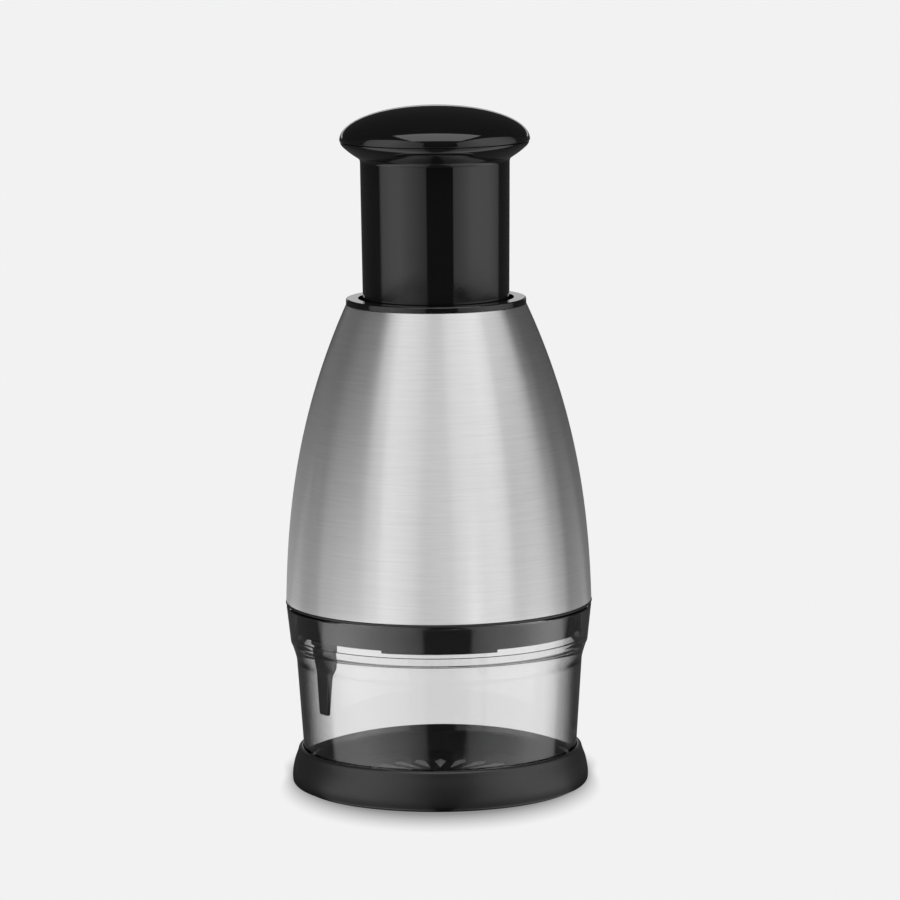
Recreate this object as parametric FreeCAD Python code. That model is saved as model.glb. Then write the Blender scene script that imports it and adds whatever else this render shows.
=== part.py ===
"""Plunger food chopper, modelled as the separate pieces that it comes apart into.

Millimetres, +Z up, origin on the table under the middle of the foot. The pieces stand
as at rest: the cup seated in the base, the housing locked on the cup, the plunger up.
"""
import FreeCAD, Part
import math
import os

V = FreeCAD.Vector
UP = V(0, 0, 1)
CENTRE = V(0, 0, 0)

# ---------------------------------------------------------------- clearances
RUN_GAP = 0.3          # between faces on bodies that move past each other
SEAT_GAP = 0.1         # between pieces that are fixed to each other
JOURNAL_GAP = 0.06     # radial, a turning shaft in its bearing
SPLINE_GAP = 0.18      # across each flat, the twisted shaft in its nut
THREAD_GAP = 0.05      # radial, a screw's shank in its pilot hole
LAP = 0.5              # how far features that are fused reach into each other
PAST = 1.0             # how far cutting shapes run past the faces they cut

# ---------------------------------------------------------------- base
FOOT_DEPTH = 0.9       # the rubber foot stands this far below the base cap
FOOT_IN_GROOVE = 1.1   # and reaches this far up into its groove
FOOT_WIDTH = 4.6
FOOT_INSET = 2.9       # foot's outer edge inside the base's widest radius
FOOT_LAND = 2.0        # base's own ring inside the foot's groove
FOOT_EDGE = 0.4        # rounding of the foot's lower edges
BASE_SKIRT = 4.35      # base's widest radius outside the cup's foot radius
BASE_EDGE = 2.7        # rounding where the base meets the table
BASE_RIM_Z = 13.4      # top of the base's outer rim
BASE_RIM_ROUND = 1.3
BASE_RIM_LAND = 0.2    # flat land on top of the rim, inside its rounding
BASE_BULGE = 0.42      # how far the base's side bows out of a straight cone
BASE_RIM_LEAN = 22.0   # degrees, the side's lean where it meets the rim's rounding
BASE_FLOOR_Z = 3.0     # underside of the base's floor
BASE_FLOOR = 1.2
COLLAR_WALL = 1.4      # the base's inner collar, inside the cup's wall
COLLAR_Z = 12.2
SEAL_H = 1.3           # flat sealing ring under the cup
SEAL_SEAT = 0.9        # bottom of the cup's groove above the floor's underside

# ---------------------------------------------------------------- chopping plate
PLATE_T = 2.0
PLATE_LEDGE = 0.6      # raised ledge round the plate's edge
PLATE_LEDGE_W = 1.6
STAR_LEAVES = 18
STAR_R = 26.0
STAR_IN_R = 3.2
STAR_LEAF_W = 6.4
STAR_H = 0.6
STAR_WIDE_AT = 0.62    # share of a leaf's length at which it is widest and highest
STAR_ROOT = 0.3        # leaves reach this far into the plate
STAR_NUB_R = 0.9

# ---------------------------------------------------------------- cup
CUP_H = 55.4
CUP_WALL = 2.0
CUP_TAPER = 0.0675     # radius gained per millimetre of height
CUP_WAIST_DROP = 18.6  # shoulder starts this far below the rim
CUP_SHOULDER_H = 6.6   # height of the shoulder below the collar
CUP_WAIST_STEP = 3.25  # waist's radius inside the body's
CUP_COLLAR_STEP = 1.3  # collar's lower radius inside the body's
CUP_RIM_STEP = 0.05
CUP_RIM_BEVEL = 0.5
CUP_LEDGE_DROP = 10.2  # inner ledge below the rim
CUP_LEDGE_IN = 0.7     # ledge inside the collar wall's inner face
CUP_LEDGE_H = 1.2
CUP_RIM_WALL = 2.7
SHOULDER_LOW = (0.45, 2.2)    # on the shoulder's curve, outwards and upwards from the waist
SHOULDER_HIGH = (0.55, 5.2)   # further on, inwards from the collar and upwards from the waist
SHOULDER_INSIDE = (0.8, 3.4)  # on the inner curve, outwards and upwards from the waist
GUIDE_RIBS = 2         # upright tapered ribs inside the cup
GUIDE_RIB_ANGLE = 211.0
GUIDE_RIB_W = 7.0
GUIDE_RIB_TIP_W = 2.6
GUIDE_RIB_T = 1.9      # how far a rib's top stands in from the wall
GUIDE_RIB_H = 30.0
GUIDE_RIB_KEEP = 0.8   # ribs end this far inside the cup's outer face

# ---------------------------------------------------------------- twist lock
LOCK_RIBS = 2
LOCK_RIB_SPAN = 8.0    # degrees
LOCK_RIB_H = 2.5
LOCK_RIB_REACH = 1.45  # how far a rib stands in from the cup's bore
LOCK_RIB_DROP = 4.1    # top of a rib below the cup's rim
LOCK_TURN = 20.0       # degrees from locked to free
LOCK_PLAY = 1.0        # degrees

# ---------------------------------------------------------------- housing
BODY_R = 50.0          # steel shell's outer radius at its lower edge
STEEL_WALL = 0.7
LINER_GAP = 0.4
LINER_WALL = 2.2
BELL_TAPER = 0.12      # straight share of the shell's inward curve
BELL_POWER = 2.3       # power of the rest of it
BELL_STEPS = 9
TRIM_H = 0.75
TRIM_PROUD = 0.15
SKIRT_WALL = 2.7
SKIRT_DEPTH = 8.0      # the skirt hangs this far below the cup's rim
SKIRT_TAB_DROP = 0.9
SKIRT_TAB_SPAN = 46.0  # degrees
SKIRT_TABS = 2
SKIRT_JOIN = 2.0       # skirt reaches this far up inside the liner's wall
TOP_ROOM = 13.0        # from the top of the guide sleeve to the shell's top edge
LINER_TOP_GAP = 4.0
WEB_DROP = 20.5        # collar web's top below the shell's top edge
WEB_T = 2.5
WEB_CLEAR = 1.9        # web's hole outside the plunger

# ---------------------------------------------------------------- plunger
TUBE_R = 24.0          # plunger's outer radius where it leaves the collar
TUBE_TAPER = 0.0108    # radius gained per millimetre of height
TUBE_WALL = 2.0
TUBE_HEAD_T = 3.0
TUBE_HEAD_DROP = 2.5   # head's top face below the neck
LIP_REACH = 2.6        # lip outside the plunger's radius
LIP_T = 2.3
STOP_RING_H = 2.5
KNOB_GAP = 0.3         # between collar and knob at the end of the stroke
KNOB_REACH = 6.52      # knob outside the tube's neck
KNOB_NECK_RISE = 6.1   # from the tube's neck to the seam of the knob
KNOB_RIM_RISE = 0.6    # from the seam to the widest level
DOME_H = 11.2
DOME_POWER = 2.4
DOME_STEPS = 8
KNOB_WALL = 2.2
KNOB_SEAM = 0.25
KNOB_SEAM_IN = 0.15
KNOB_EDGE_BOW = 0.03   # knob's rim inside its radius, halfway up from the seam
NECK_ROUND = 1.0       # length of the rounding between tube and flare
NECK_MIDDLE = (0.12, 0.5)     # outwards and upwards along the rounding, shares of its length
NECK_END = (0.45, 0.9)
FLARE_END = (1.8, 2.2)        # inwards and downwards from the knob's radius and seam
FLARE_BEND = (0.8, 1.3)
FLARE_EDGE_IN = 0.3    # flare's top edge inside the knob's radius
TUBE_MOUTH = 1.0       # hollow above the head widens from this far above the neck
CAP_SPIGOT = 2.0
CAP_SPIGOT_WALL = 1.6
CAP_SPIGOT_IN = 3.6

# ---------------------------------------------------------------- guide collar
COLLAR_HOLE_GAP = 1.4  # round the plunger where it leaves the collar
COLLAR_FLANGE = 3.92
COLLAR_PROUD = 1.9
COLLAR_ROUND = 0.5
COLLAR_SLEEVE = 2.0
BUSH_GAP = 0.08        # round the plunger's widest stretch
BUSH_H = 10.0
BUSH_LIP = 1.5
BUSH_LIP_GAP = 0.5     # lip's hole outside the bush's bore
COLLAR_SCREWS = 3
COLLAR_SCREW_ANGLE = 90.0
COLLAR_SCREW_STEP = 2.2  # screw circle outside the collar's sleeve
COLLAR_BOSS_R = 2.5
COLLAR_BOSS_H = 5.0
COLLAR_PILOT = 4.7     # depth of the screw hole in a boss
COLLAR_SCREW_GRIP = 4.0  # length of a collar screw in its boss

# ---------------------------------------------------------------- screws
SCREW_R = 1.3
SCREW_HEAD_R = 2.4
SCREW_HEAD_H = 2.0
SCREW_HEAD_ROUND = 0.6
SCREW_RECESS_R = 1.1
SCREW_RECESS_W = 0.5
SCREW_RECESS = 1.0     # depth
PLATE_SCREW_GRIP = 7.0  # length of a plate screw in its boss
KNOB_SCREW_SCALE = 1.6
KNOB_SCREW_GRIP = 9.0  # length of the knob screw in the push rod

# ---------------------------------------------------------------- bearing plate
BEARING_T = 2.6
BEARING_EDGE_GAP = 0.5
BEARING_RIBS = 6
BEARING_RIB_W = 1.6
BEARING_RIB_H = 3.8
BEARING_RIB_IN = 1.5   # ribs start this far outside the spring's seat
BEARING_RIB_OUT = 1.5  # ribs end this far inside the plate's edge
PLATE_SCREWS = 3
PLATE_SCREW_ANGLE = 30.0
PLATE_BOSS_R = 3.2
PLATE_BOSS_H = 11.0
PLATE_BOSS_INSET = 2.7  # boss centre inside the liner's inner face
PLATE_BOSS_WEB = 1.5   # second boss that ties the first to the wall, further out
PLATE_BOSS_KEEP = 0.2  # bosses end this far inside the liner's outer face
PLATE_PILOT = 9.0      # depth of the screw hole in a boss
SLEEVE_WALL = 2.0
GUIDE_OVERLAP = 13.9   # push rod inside the sleeve with the plunger up
NUT_H = 7.4
NUT_SECTIONS = 5
RATCHET_TEETH = 12
RATCHET_TOOTH = 0.8
RATCHET_H = 2.0
PAWL_T = 0.6
PAWL_H = 1.6
PAWLS = 2
PAWL_TIP_ANGLE = -1.0
PAWL_ROOT_ANGLES = (-38.0, -30.0)

# ---------------------------------------------------------------- push rod and shaft
ROD_R = 9.7
ROD_WALL = 2.4
ROD_WEB = 4.0
ROD_PLUG = 11.0
ROD_PILOT = 10.0       # depth of the knob screw's hole in the plug
KEYS = 2
KEY_W = 2.0
KEY_H = 1.0
KEY_GAP = 0.2
SHAFT_R = 4.0
SHAFT_SQUARE = 6.4     # across the flats of the twisted stretch
SHAFT_TURN = 60.0      # degrees that the blades turn in one full stroke
SHAFT_SECTIONS = 24
SHAFT_START = 0.5      # twisted stretch starts this far above the bearing plate's underside
SHAFT_SPARE = 0.8      # and runs this far past the nut at the end of the stroke
SHAFT_FOOT_GAP = 0.5   # shaft's foot above the blade's upper edge
JOURNAL_R = 3.0
WASHER_T = 0.8
WASHER_R = 6.0
PIVOT_SCREW_R = 1.5
PIVOT_SCREW_L = 9.0
HUB_PIN_R = 1.2
HUB_PIN_END = 0.3      # pin's ends inside the boss's face

# ---------------------------------------------------------------- return spring
SPRING_ROOM = 1.55     # between the guide sleeve and the spring
SPRING_WIRE_R = 0.75
SPRING_TURNS = 12
SEAT_STEP = 2.7        # seat's radius outside the spring's middle
SEAT_T = 1.5

# ---------------------------------------------------------------- blades and wiper
BLADE_DROP = 1.0       # cutting edge below the skirt's lower edge
BLADE_H = 14.0         # below the hub
BLADE_T = 0.8
BLADE_EDGE_T = 0.15
BLADE_EDGE_H = 2.4
BLADE_INSERT = 1.5
BLADE_INSET = 2.5      # zigzag's outermost corners inside the hub's edge
BLADE_CORNERS = ((1.0, 163), (0.98, 232), (0.92, 103))  # share of the reach, degrees; half of them
FLOOR_GAP = 0.6        # cutting edge above the star at the end of the stroke
HUB_INSET = 4.0        # hub's edge inside the wiper's
HUB_T = 3.0
HUB_GAP = 0.5          # hub's boss under the bearing plate
HUB_BOSS_R = 8.0
HUB_BOSS_H = 6.9
HUB_RIBS = 6
HUB_RIB_ANGLE = 30.0
HUB_RIB_W = 1.6
HUB_RIB_H = 2.0
WIPER_GAP = 0.57       # wiper inside the base's inner collar
WIPER_T = 3.0
WIPER_SLOT_GAP = 0.45  # each side of the blade
WIPER_EDGE_LEAD = 0.1  # wiper's face below the cutting edge
WIPER_RIM_W = 1.6
WIPER_RIM_H = 1.6
PIN_COUNT = 2
PIN_AT = (7.0, 20.0)   # first guide pin, the other stands opposite
PIN_R = 1.5
PIN_HEAD_R = 2.8
PIN_HEAD_H = 1.1
PIN_HEAD_SINK = 0.3
PIN_CAP = 0.5          # hub left over the top of a pin's hole
WIPER_SPRING_R = 2.9
WIPER_SPRING_WIRE_R = 0.3
WIPER_SPRING_TURNS = 5

# ---------------------------------------------------------------- levels, from the table up
base_under_z = FOOT_DEPTH
plate_z = BASE_FLOOR_Z + BASE_FLOOR
floor_z = plate_z + PLATE_T
seal_z = BASE_FLOOR_Z + SEAL_SEAT
cup_foot_z = seal_z + SEAL_H
cup_rim_z = cup_foot_z + CUP_H
waist_z = cup_rim_z - CUP_WAIST_DROP
trim_z = cup_rim_z + RUN_GAP
shell_z = trim_z + TRIM_H
skirt_z = cup_rim_z - SKIRT_DEPTH
blade_edge_z = skirt_z - BLADE_DROP
wiper_z = blade_edge_z - WIPER_EDGE_LEAD
hub_z = blade_edge_z + BLADE_H
hub_boss_z = hub_z + HUB_T + HUB_BOSS_H
stroke = blade_edge_z - floor_z - STAR_H - FLOOR_GAP
bearing_z = hub_boss_z + HUB_GAP
bearing_top_z = bearing_z + BEARING_T
nut_top_z = bearing_top_z + NUT_H
twist_z = bearing_z + SHAFT_START
twist_top_z = nut_top_z + stroke + SHAFT_SPARE
rod_z = twist_top_z + WASHER_T + RUN_GAP
sleeve_top_z = rod_z + GUIDE_OVERLAP
shell_top_z = sleeve_top_z + TOP_ROOM
collar_z = shell_top_z + SEAT_GAP
collar_top_z = collar_z + COLLAR_PROUD
web_top_z = shell_top_z - WEB_DROP
web_z = web_top_z - WEB_T
neck_z = collar_top_z + stroke + KNOB_GAP
seam_z = neck_z + KNOB_NECK_RISE
knob_wide_z = seam_z + KNOB_RIM_RISE
knob_top_z = knob_wide_z + DOME_H
head_top_z = neck_z - TUBE_HEAD_DROP
head_z = head_top_z - TUBE_HEAD_T
seat_z = head_z - SEAT_T
lip_top_z = web_z - RUN_GAP - STOP_RING_H
lip_z = lip_top_z - LIP_T
shaft_foot_z = hub_z + BLADE_INSERT + SHAFT_FOOT_GAP
hub_pin_z = hub_z + HUB_T + HUB_BOSS_H / 2
journal_top_z = rod_z + ROD_WEB + SEAT_GAP

# ---------------------------------------------------------------- radii
cup_rim_r = BODY_R - CUP_RIM_STEP
cup_collar_r = BODY_R - CUP_COLLAR_STEP
cup_waist_r = BODY_R - CUP_WAIST_STEP
cup_foot_r = cup_waist_r - CUP_TAPER * (waist_z - cup_foot_z)
cup_bore_r = cup_rim_r - CUP_RIM_WALL
base_r = cup_foot_r + BASE_SKIRT
rim_bore_r = cup_foot_r + CUP_TAPER * (BASE_RIM_Z - cup_foot_z) + RUN_GAP
collar_r = cup_foot_r - CUP_WALL - RUN_GAP
collar_bore_r = collar_r - COLLAR_WALL
plate_r = collar_bore_r - SEAT_GAP
foot_r = base_r - FOOT_INSET
skirt_r = cup_bore_r - RUN_GAP - SEAT_GAP
skirt_bore_r = skirt_r - SKIRT_WALL
lock_rib_r = cup_bore_r - LOCK_RIB_REACH
hole_r = TUBE_R + COLLAR_HOLE_GAP
flange_r = hole_r + COLLAR_FLANGE
tube_neck_r = TUBE_R + TUBE_TAPER * (neck_z - collar_top_z)
bush_bore_r = tube_neck_r + BUSH_GAP
liner_offset = STEEL_WALL + LINER_GAP
lip_r = TUBE_R + LIP_REACH
knob_r = tube_neck_r + KNOB_REACH
spigot_r = knob_r - CAP_SPIGOT_IN
knob_shank_r = SCREW_R * KNOB_SCREW_SCALE
collar_screw_r = hole_r + COLLAR_SLEEVE + COLLAR_SCREW_STEP
sleeve_bore_r = ROD_R + RUN_GAP
sleeve_r = sleeve_bore_r + SLEEVE_WALL
ratchet_root_r = sleeve_bore_r - PAWL_T - 2 * RATCHET_TOOTH
spring_r = sleeve_r + SPRING_ROOM + SPRING_WIRE_R
seat_r = spring_r + SEAT_STEP
wiper_r = collar_bore_r - WIPER_GAP
hub_r = wiper_r - HUB_INSET
shaft_corner_r = SHAFT_SQUARE * math.sqrt(0.5)


# ---------------------------------------------------------------- helpers
def disc(radius, low, high, x=0.0, y=0.0):
    """An upright cylinder between two levels."""
    return Part.makeCylinder(radius, high - low, V(x, y, low), UP)


def ring(bore, radius, low, high):
    """A flat ring between two levels."""
    return disc(radius, low, high).cut(disc(bore, low - PAST, high + PAST))


def line(start, end):
    """A straight edge of an outline, from one (radius, height) to another."""
    return Part.LineSegment(V(start[0], 0, start[1]), V(end[0], 0, end[1])).toShape()


def arc(start, middle, end):
    """A round edge of an outline through three (radius, height) points."""
    points = [V(r, 0, z) for r, z in (start, middle, end)]
    return Part.Arc(*points).toShape()


def curve(points, leaving=None, arriving=None):
    """A smooth edge of an outline through (radius, height) points, with its end directions."""
    spline = Part.BSplineCurve()
    places = [V(r, 0, z) for r, z in points]
    if leaving:
        spline.interpolate(Points=places, InitialTangent=V(leaving[0], 0, leaving[1]),
                           FinalTangent=V(arriving[0], 0, arriving[1]))
    else:
        spline.interpolate(places)
    return spline.toShape()


def path(*corners):
    """Straight edges that join the corners in order."""
    return [line(a, b) for a, b in zip(corners, corners[1:])]


def turned(edges):
    """The solid that a closed outline sweeps round the middle axis."""
    face = Part.Face(Part.Wire(Part.sortEdges(edges)[0]))
    solid = face.revolve(CENTRE, UP, 360)
    if solid.Volume < 0:
        solid.reverse()
    return solid


def sector(bore, radius, low, high, middle, span):
    """Part of a flat ring, centred on an angle in degrees."""
    piece = ring(bore, radius, low, high)
    wedge = Part.makeCylinder(radius + PAST, high - low, V(0, 0, low), UP, span)
    wedge.rotate(CENTRE, UP, middle - span / 2)
    return piece.common(wedge)


def round_copies(shape, count, start=0.0):
    """Copies of a shape, evenly spaced round the middle axis."""
    copies = []
    for number in range(count):
        copy = shape.copy()
        copy.rotate(CENTRE, UP, start + 360.0 * number / count)
        copies.append(copy)
    return copies


def on_circle(middle, radius, degrees):
    """The (radius, height) point on a rounding whose outline faces an angle above level."""
    turn = math.radians(degrees)
    return middle[0] + radius * math.cos(turn), middle[1] + radius * math.sin(turn)


def at_angle(radius, degrees):
    """The point at a radius and an angle round the middle axis."""
    turn = math.radians(degrees)
    return radius * math.cos(turn), radius * math.sin(turn)


def screw(x, y, seat, length, scale=1.0, downwards=False):
    """A pan-head screw whose head sits on a level and whose shank leaves it."""
    head_h = SCREW_HEAD_H * scale
    body = disc(SCREW_HEAD_R * scale, -head_h, 0)
    outer = [e for e in body.Edges if e.BoundBox.ZMax < -head_h / 2]
    body = body.makeFillet(SCREW_HEAD_ROUND * scale, outer)
    body = body.fuse(disc(SCREW_R * scale, 0, length))
    recess = Part.makeBox(2 * SCREW_RECESS_R * scale, SCREW_RECESS_W * scale, SCREW_RECESS * scale)
    recess.translate(V(-SCREW_RECESS_R * scale, -SCREW_RECESS_W * scale / 2, -head_h))
    cross = recess.copy()
    cross.rotate(CENTRE, UP, 90)
    body = body.cut(recess.fuse(cross))
    if downwards:
        body.rotate(CENTRE, V(1, 0, 0), 180)
    body.translate(V(x, y, seat))
    return body


def coil(radius, wire, low, high, turns):
    """A helical spring whose wire lies between two levels."""
    rise = high - low - 2 * wire
    helix = Part.makeHelix(rise / turns, rise, radius)
    section = Part.Wire(Part.makeCircle(wire, V(radius, 0, 0), V(0, 1, 0)))
    spring = Part.Wire(helix).makePipeShell([section], True, True)
    spring.translate(V(0, 0, low + wire))
    return spring


def write(node, shape):
    """Save one node as STEP after a look at its solids."""
    solids = shape.Solids
    print(f"{node}: {len(solids)} solid(s), {shape.Volume:.0f} mm3, valid {shape.isValid()}")
    shape = solids[0] if len(solids) == 1 else Part.Compound(solids)
    shape.exportStep(f"parts/{node}.step")


# ---------------------------------------------------------------- base
def base_cap():
    """Moulded cap: skirt, rim, groove for the cup's wall, inner collar and floor."""
    edge_top_z = base_under_z + BASE_EDGE
    land = (rim_bore_r + BASE_RIM_LAND, BASE_RIM_Z)
    round_middle = (land[0], BASE_RIM_Z - BASE_RIM_ROUND)
    shoulder = on_circle(round_middle, BASE_RIM_ROUND, BASE_RIM_LEAN)
    crown = on_circle(round_middle, BASE_RIM_ROUND, (90 + BASE_RIM_LEAN) / 2)
    edge_middle = (base_r - BASE_EDGE, edge_top_z)
    bow = ((base_r + shoulder[0]) / 2 + BASE_BULGE, (edge_top_z + shoulder[1]) / 2)
    edges = [
        arc((edge_middle[0], base_under_z), on_circle(edge_middle, BASE_EDGE, -45), (base_r, edge_top_z)),
        arc((base_r, edge_top_z), bow, shoulder),
        arc(shoulder, crown, land),
    ]
    inside_r = foot_r - FOOT_WIDTH - FOOT_LAND
    edges += path(land, (rim_bore_r, BASE_RIM_Z), (rim_bore_r, seal_z), (collar_r, seal_z),
                  (collar_r, COLLAR_Z), (collar_bore_r, COLLAR_Z), (collar_bore_r, plate_z),
                  (0, plate_z), (0, BASE_FLOOR_Z), (inside_r, BASE_FLOOR_Z),
                  (inside_r, base_under_z), (base_r - BASE_EDGE, base_under_z))
    groove = ring(foot_r - FOOT_WIDTH - SEAT_GAP, foot_r + SEAT_GAP,
                  base_under_z - PAST, base_under_z + FOOT_IN_GROOVE)
    return turned(edges).cut(groove)


def foot_ring():
    """Non-slip rubber ring let into the underside of the base cap."""
    body = ring(foot_r - FOOT_WIDTH, foot_r, 0, base_under_z + FOOT_IN_GROOVE)
    return body.makeFillet(FOOT_EDGE, [e for e in body.Edges if e.BoundBox.ZMax < SEAT_GAP])


def star_leaf():
    """One faceted leaf of the moulded star, a low four-sided ridge."""
    middle_r = STAR_IN_R + (STAR_R - STAR_IN_R) * STAR_WIDE_AT
    under = floor_z - STAR_ROOT
    foot = [V(STAR_IN_R, 0, under), V(middle_r, -STAR_LEAF_W / 2, under),
            V(STAR_R, 0, under), V(middle_r, STAR_LEAF_W / 2, under)]
    peak = V(middle_r, 0, floor_z + STAR_H)
    faces = [Part.Face(Part.makePolygon(foot + [foot[0]]))]
    for a, b in zip(foot, foot[1:] + [foot[0]]):
        faces.append(Part.Face(Part.makePolygon([a, b, peak, a])))
    leaf = Part.makeSolid(Part.makeShell(faces))
    if leaf.Volume < 0:
        leaf.reverse()
    return leaf


def chopping_plate():
    """Glossy chopping floor with a moulded star and a raised ledge round its edge."""
    body = disc(plate_r, plate_z, floor_z)
    body = body.fuse(ring(plate_r - PLATE_LEDGE_W, plate_r, floor_z - LAP, floor_z + PLATE_LEDGE))
    body = body.fuse(round_copies(star_leaf(), STAR_LEAVES, -90))
    return body.fuse(disc(STAR_NUB_R, floor_z - LAP, floor_z + STAR_H)).removeSplitter()


def cup_seal():
    """Flat sealing ring in the groove under the cup's wall."""
    return ring(collar_r + SEAT_GAP, rim_bore_r - SEAT_GAP, seal_z, cup_foot_z)


# ---------------------------------------------------------------- cup
def guide_rib(wall_r):
    """Upright rib on the cup's wall that narrows downwards."""
    top = waist_z + LAP
    low = top - GUIDE_RIB_H
    inner = wall_r - GUIDE_RIB_T
    corners = [V(inner, -GUIDE_RIB_W / 2, top), V(inner, GUIDE_RIB_W / 2, top),
               V(inner, GUIDE_RIB_TIP_W / 2, low), V(inner, -GUIDE_RIB_TIP_W / 2, low)]
    face = Part.Face(Part.makePolygon(corners + [corners[0]]))
    return face.extrude(V(GUIDE_RIB_T + CUP_WALL, 0, 0))


def cup():
    """Clear open-ended cup with a collar, twist-lock ribs and guide ribs."""
    collar_low_z = waist_z + CUP_SHOULDER_H
    ledge_z = cup_rim_z - CUP_LEDGE_DROP
    inner_waist_r = cup_waist_r - CUP_WALL
    ledge_r = cup_collar_r - CUP_WALL - CUP_LEDGE_IN
    edges = path((cup_foot_r - CUP_WALL, cup_foot_z), (cup_foot_r, cup_foot_z), (cup_waist_r, waist_z))
    edges.append(curve([(cup_waist_r, waist_z),
                        (cup_waist_r + SHOULDER_LOW[0], waist_z + SHOULDER_LOW[1]),
                        (cup_collar_r - SHOULDER_HIGH[0], waist_z + SHOULDER_HIGH[1]),
                        (cup_collar_r, collar_low_z)], (CUP_TAPER, 1), (CUP_TAPER, 1)))
    edges += path((cup_collar_r, collar_low_z), (cup_rim_r, cup_rim_z - CUP_RIM_BEVEL),
                  (cup_rim_r - CUP_RIM_BEVEL, cup_rim_z), (cup_bore_r, cup_rim_z),
                  (cup_bore_r, ledge_z), (ledge_r, ledge_z), (ledge_r, ledge_z - CUP_LEDGE_H))
    edges.append(curve([(ledge_r, ledge_z - CUP_LEDGE_H),
                        (inner_waist_r + SHOULDER_INSIDE[0], waist_z + SHOULDER_INSIDE[1]),
                        (inner_waist_r, waist_z)], (0, -1), (-CUP_TAPER, -1)))
    edges += path((inner_waist_r, waist_z), (cup_foot_r - CUP_WALL, cup_foot_z))
    body = turned(edges)
    keep_top_r = cup_waist_r - GUIDE_RIB_KEEP
    keep = turned(path((0, cup_foot_z), (cup_foot_r - GUIDE_RIB_KEEP, cup_foot_z), (keep_top_r, waist_z),
                       (keep_top_r, cup_rim_z), (0, cup_rim_z), (0, cup_foot_z)))
    ribs = Part.Compound(round_copies(guide_rib(inner_waist_r), GUIDE_RIBS, GUIDE_RIB_ANGLE))
    body = body.fuse(ribs.common(keep))
    lock_top = cup_rim_z - LOCK_RIB_DROP
    lock = sector(lock_rib_r, cup_bore_r + LAP, lock_top - LOCK_RIB_H, lock_top, 0, LOCK_RIB_SPAN)
    return body.fuse(round_copies(lock, LOCK_RIBS)).removeSplitter()


# ---------------------------------------------------------------- housing
def bell_r(level, offset=0.0):
    """Outer radius of the steel shell at a level, less an offset."""
    share = (level - shell_z) / (shell_top_z - shell_z)
    drop = BELL_TAPER * share + (1 - BELL_TAPER) * share ** BELL_POWER
    return BODY_R - (BODY_R - flange_r) * drop - offset


def bell_edge(offset, low, high):
    """The shell's curve between two levels, moved inwards by an offset."""
    levels = [low + (high - low) * step / BELL_STEPS for step in range(BELL_STEPS + 1)]
    return curve([(bell_r(level, offset), level) for level in levels])


def bell_wall(offset, wall, low, high):
    """A wall that follows the shell's curve between two levels."""
    inner = offset + wall
    edges = [bell_edge(offset, low, high), bell_edge(inner, low, high)]
    edges.append(line((bell_r(low, offset), low), (bell_r(low, inner), low)))
    edges.append(line((bell_r(high, offset), high), (bell_r(high, inner), high)))
    return turned(edges)


def steel_shell():
    """Drawn stainless shell, open at both ends."""
    return bell_wall(0, STEEL_WALL, shell_z, shell_top_z)


def trim_ring():
    """Black ring between the shell's lower edge and the cup's rim."""
    return ring(skirt_r + SEAT_GAP, BODY_R + TRIM_PROUD, trim_z, trim_z + TRIM_H - SEAT_GAP)


def lock_slot():
    """L-shaped slot in the skirt for one lock rib, open at the skirt's lower edge."""
    depth_r = lock_rib_r - RUN_GAP
    span = LOCK_RIB_SPAN + 2 * LOCK_PLAY
    top = cup_rim_z - LOCK_RIB_DROP + RUN_GAP
    low = top - LOCK_RIB_H - 2 * RUN_GAP
    run = sector(depth_r, skirt_r + PAST, low, top, -LOCK_TURN / 2, span + LOCK_TURN)
    entry = sector(depth_r, skirt_r + PAST, skirt_z - PAST, top, -LOCK_TURN, span)
    return run.fuse(entry)


def plate_boss_r():
    """Radius of the circle that the bearing plate's screws stand on."""
    return bell_r(bearing_top_z, liner_offset + LINER_WALL) - PLATE_BOSS_INSET


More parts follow.
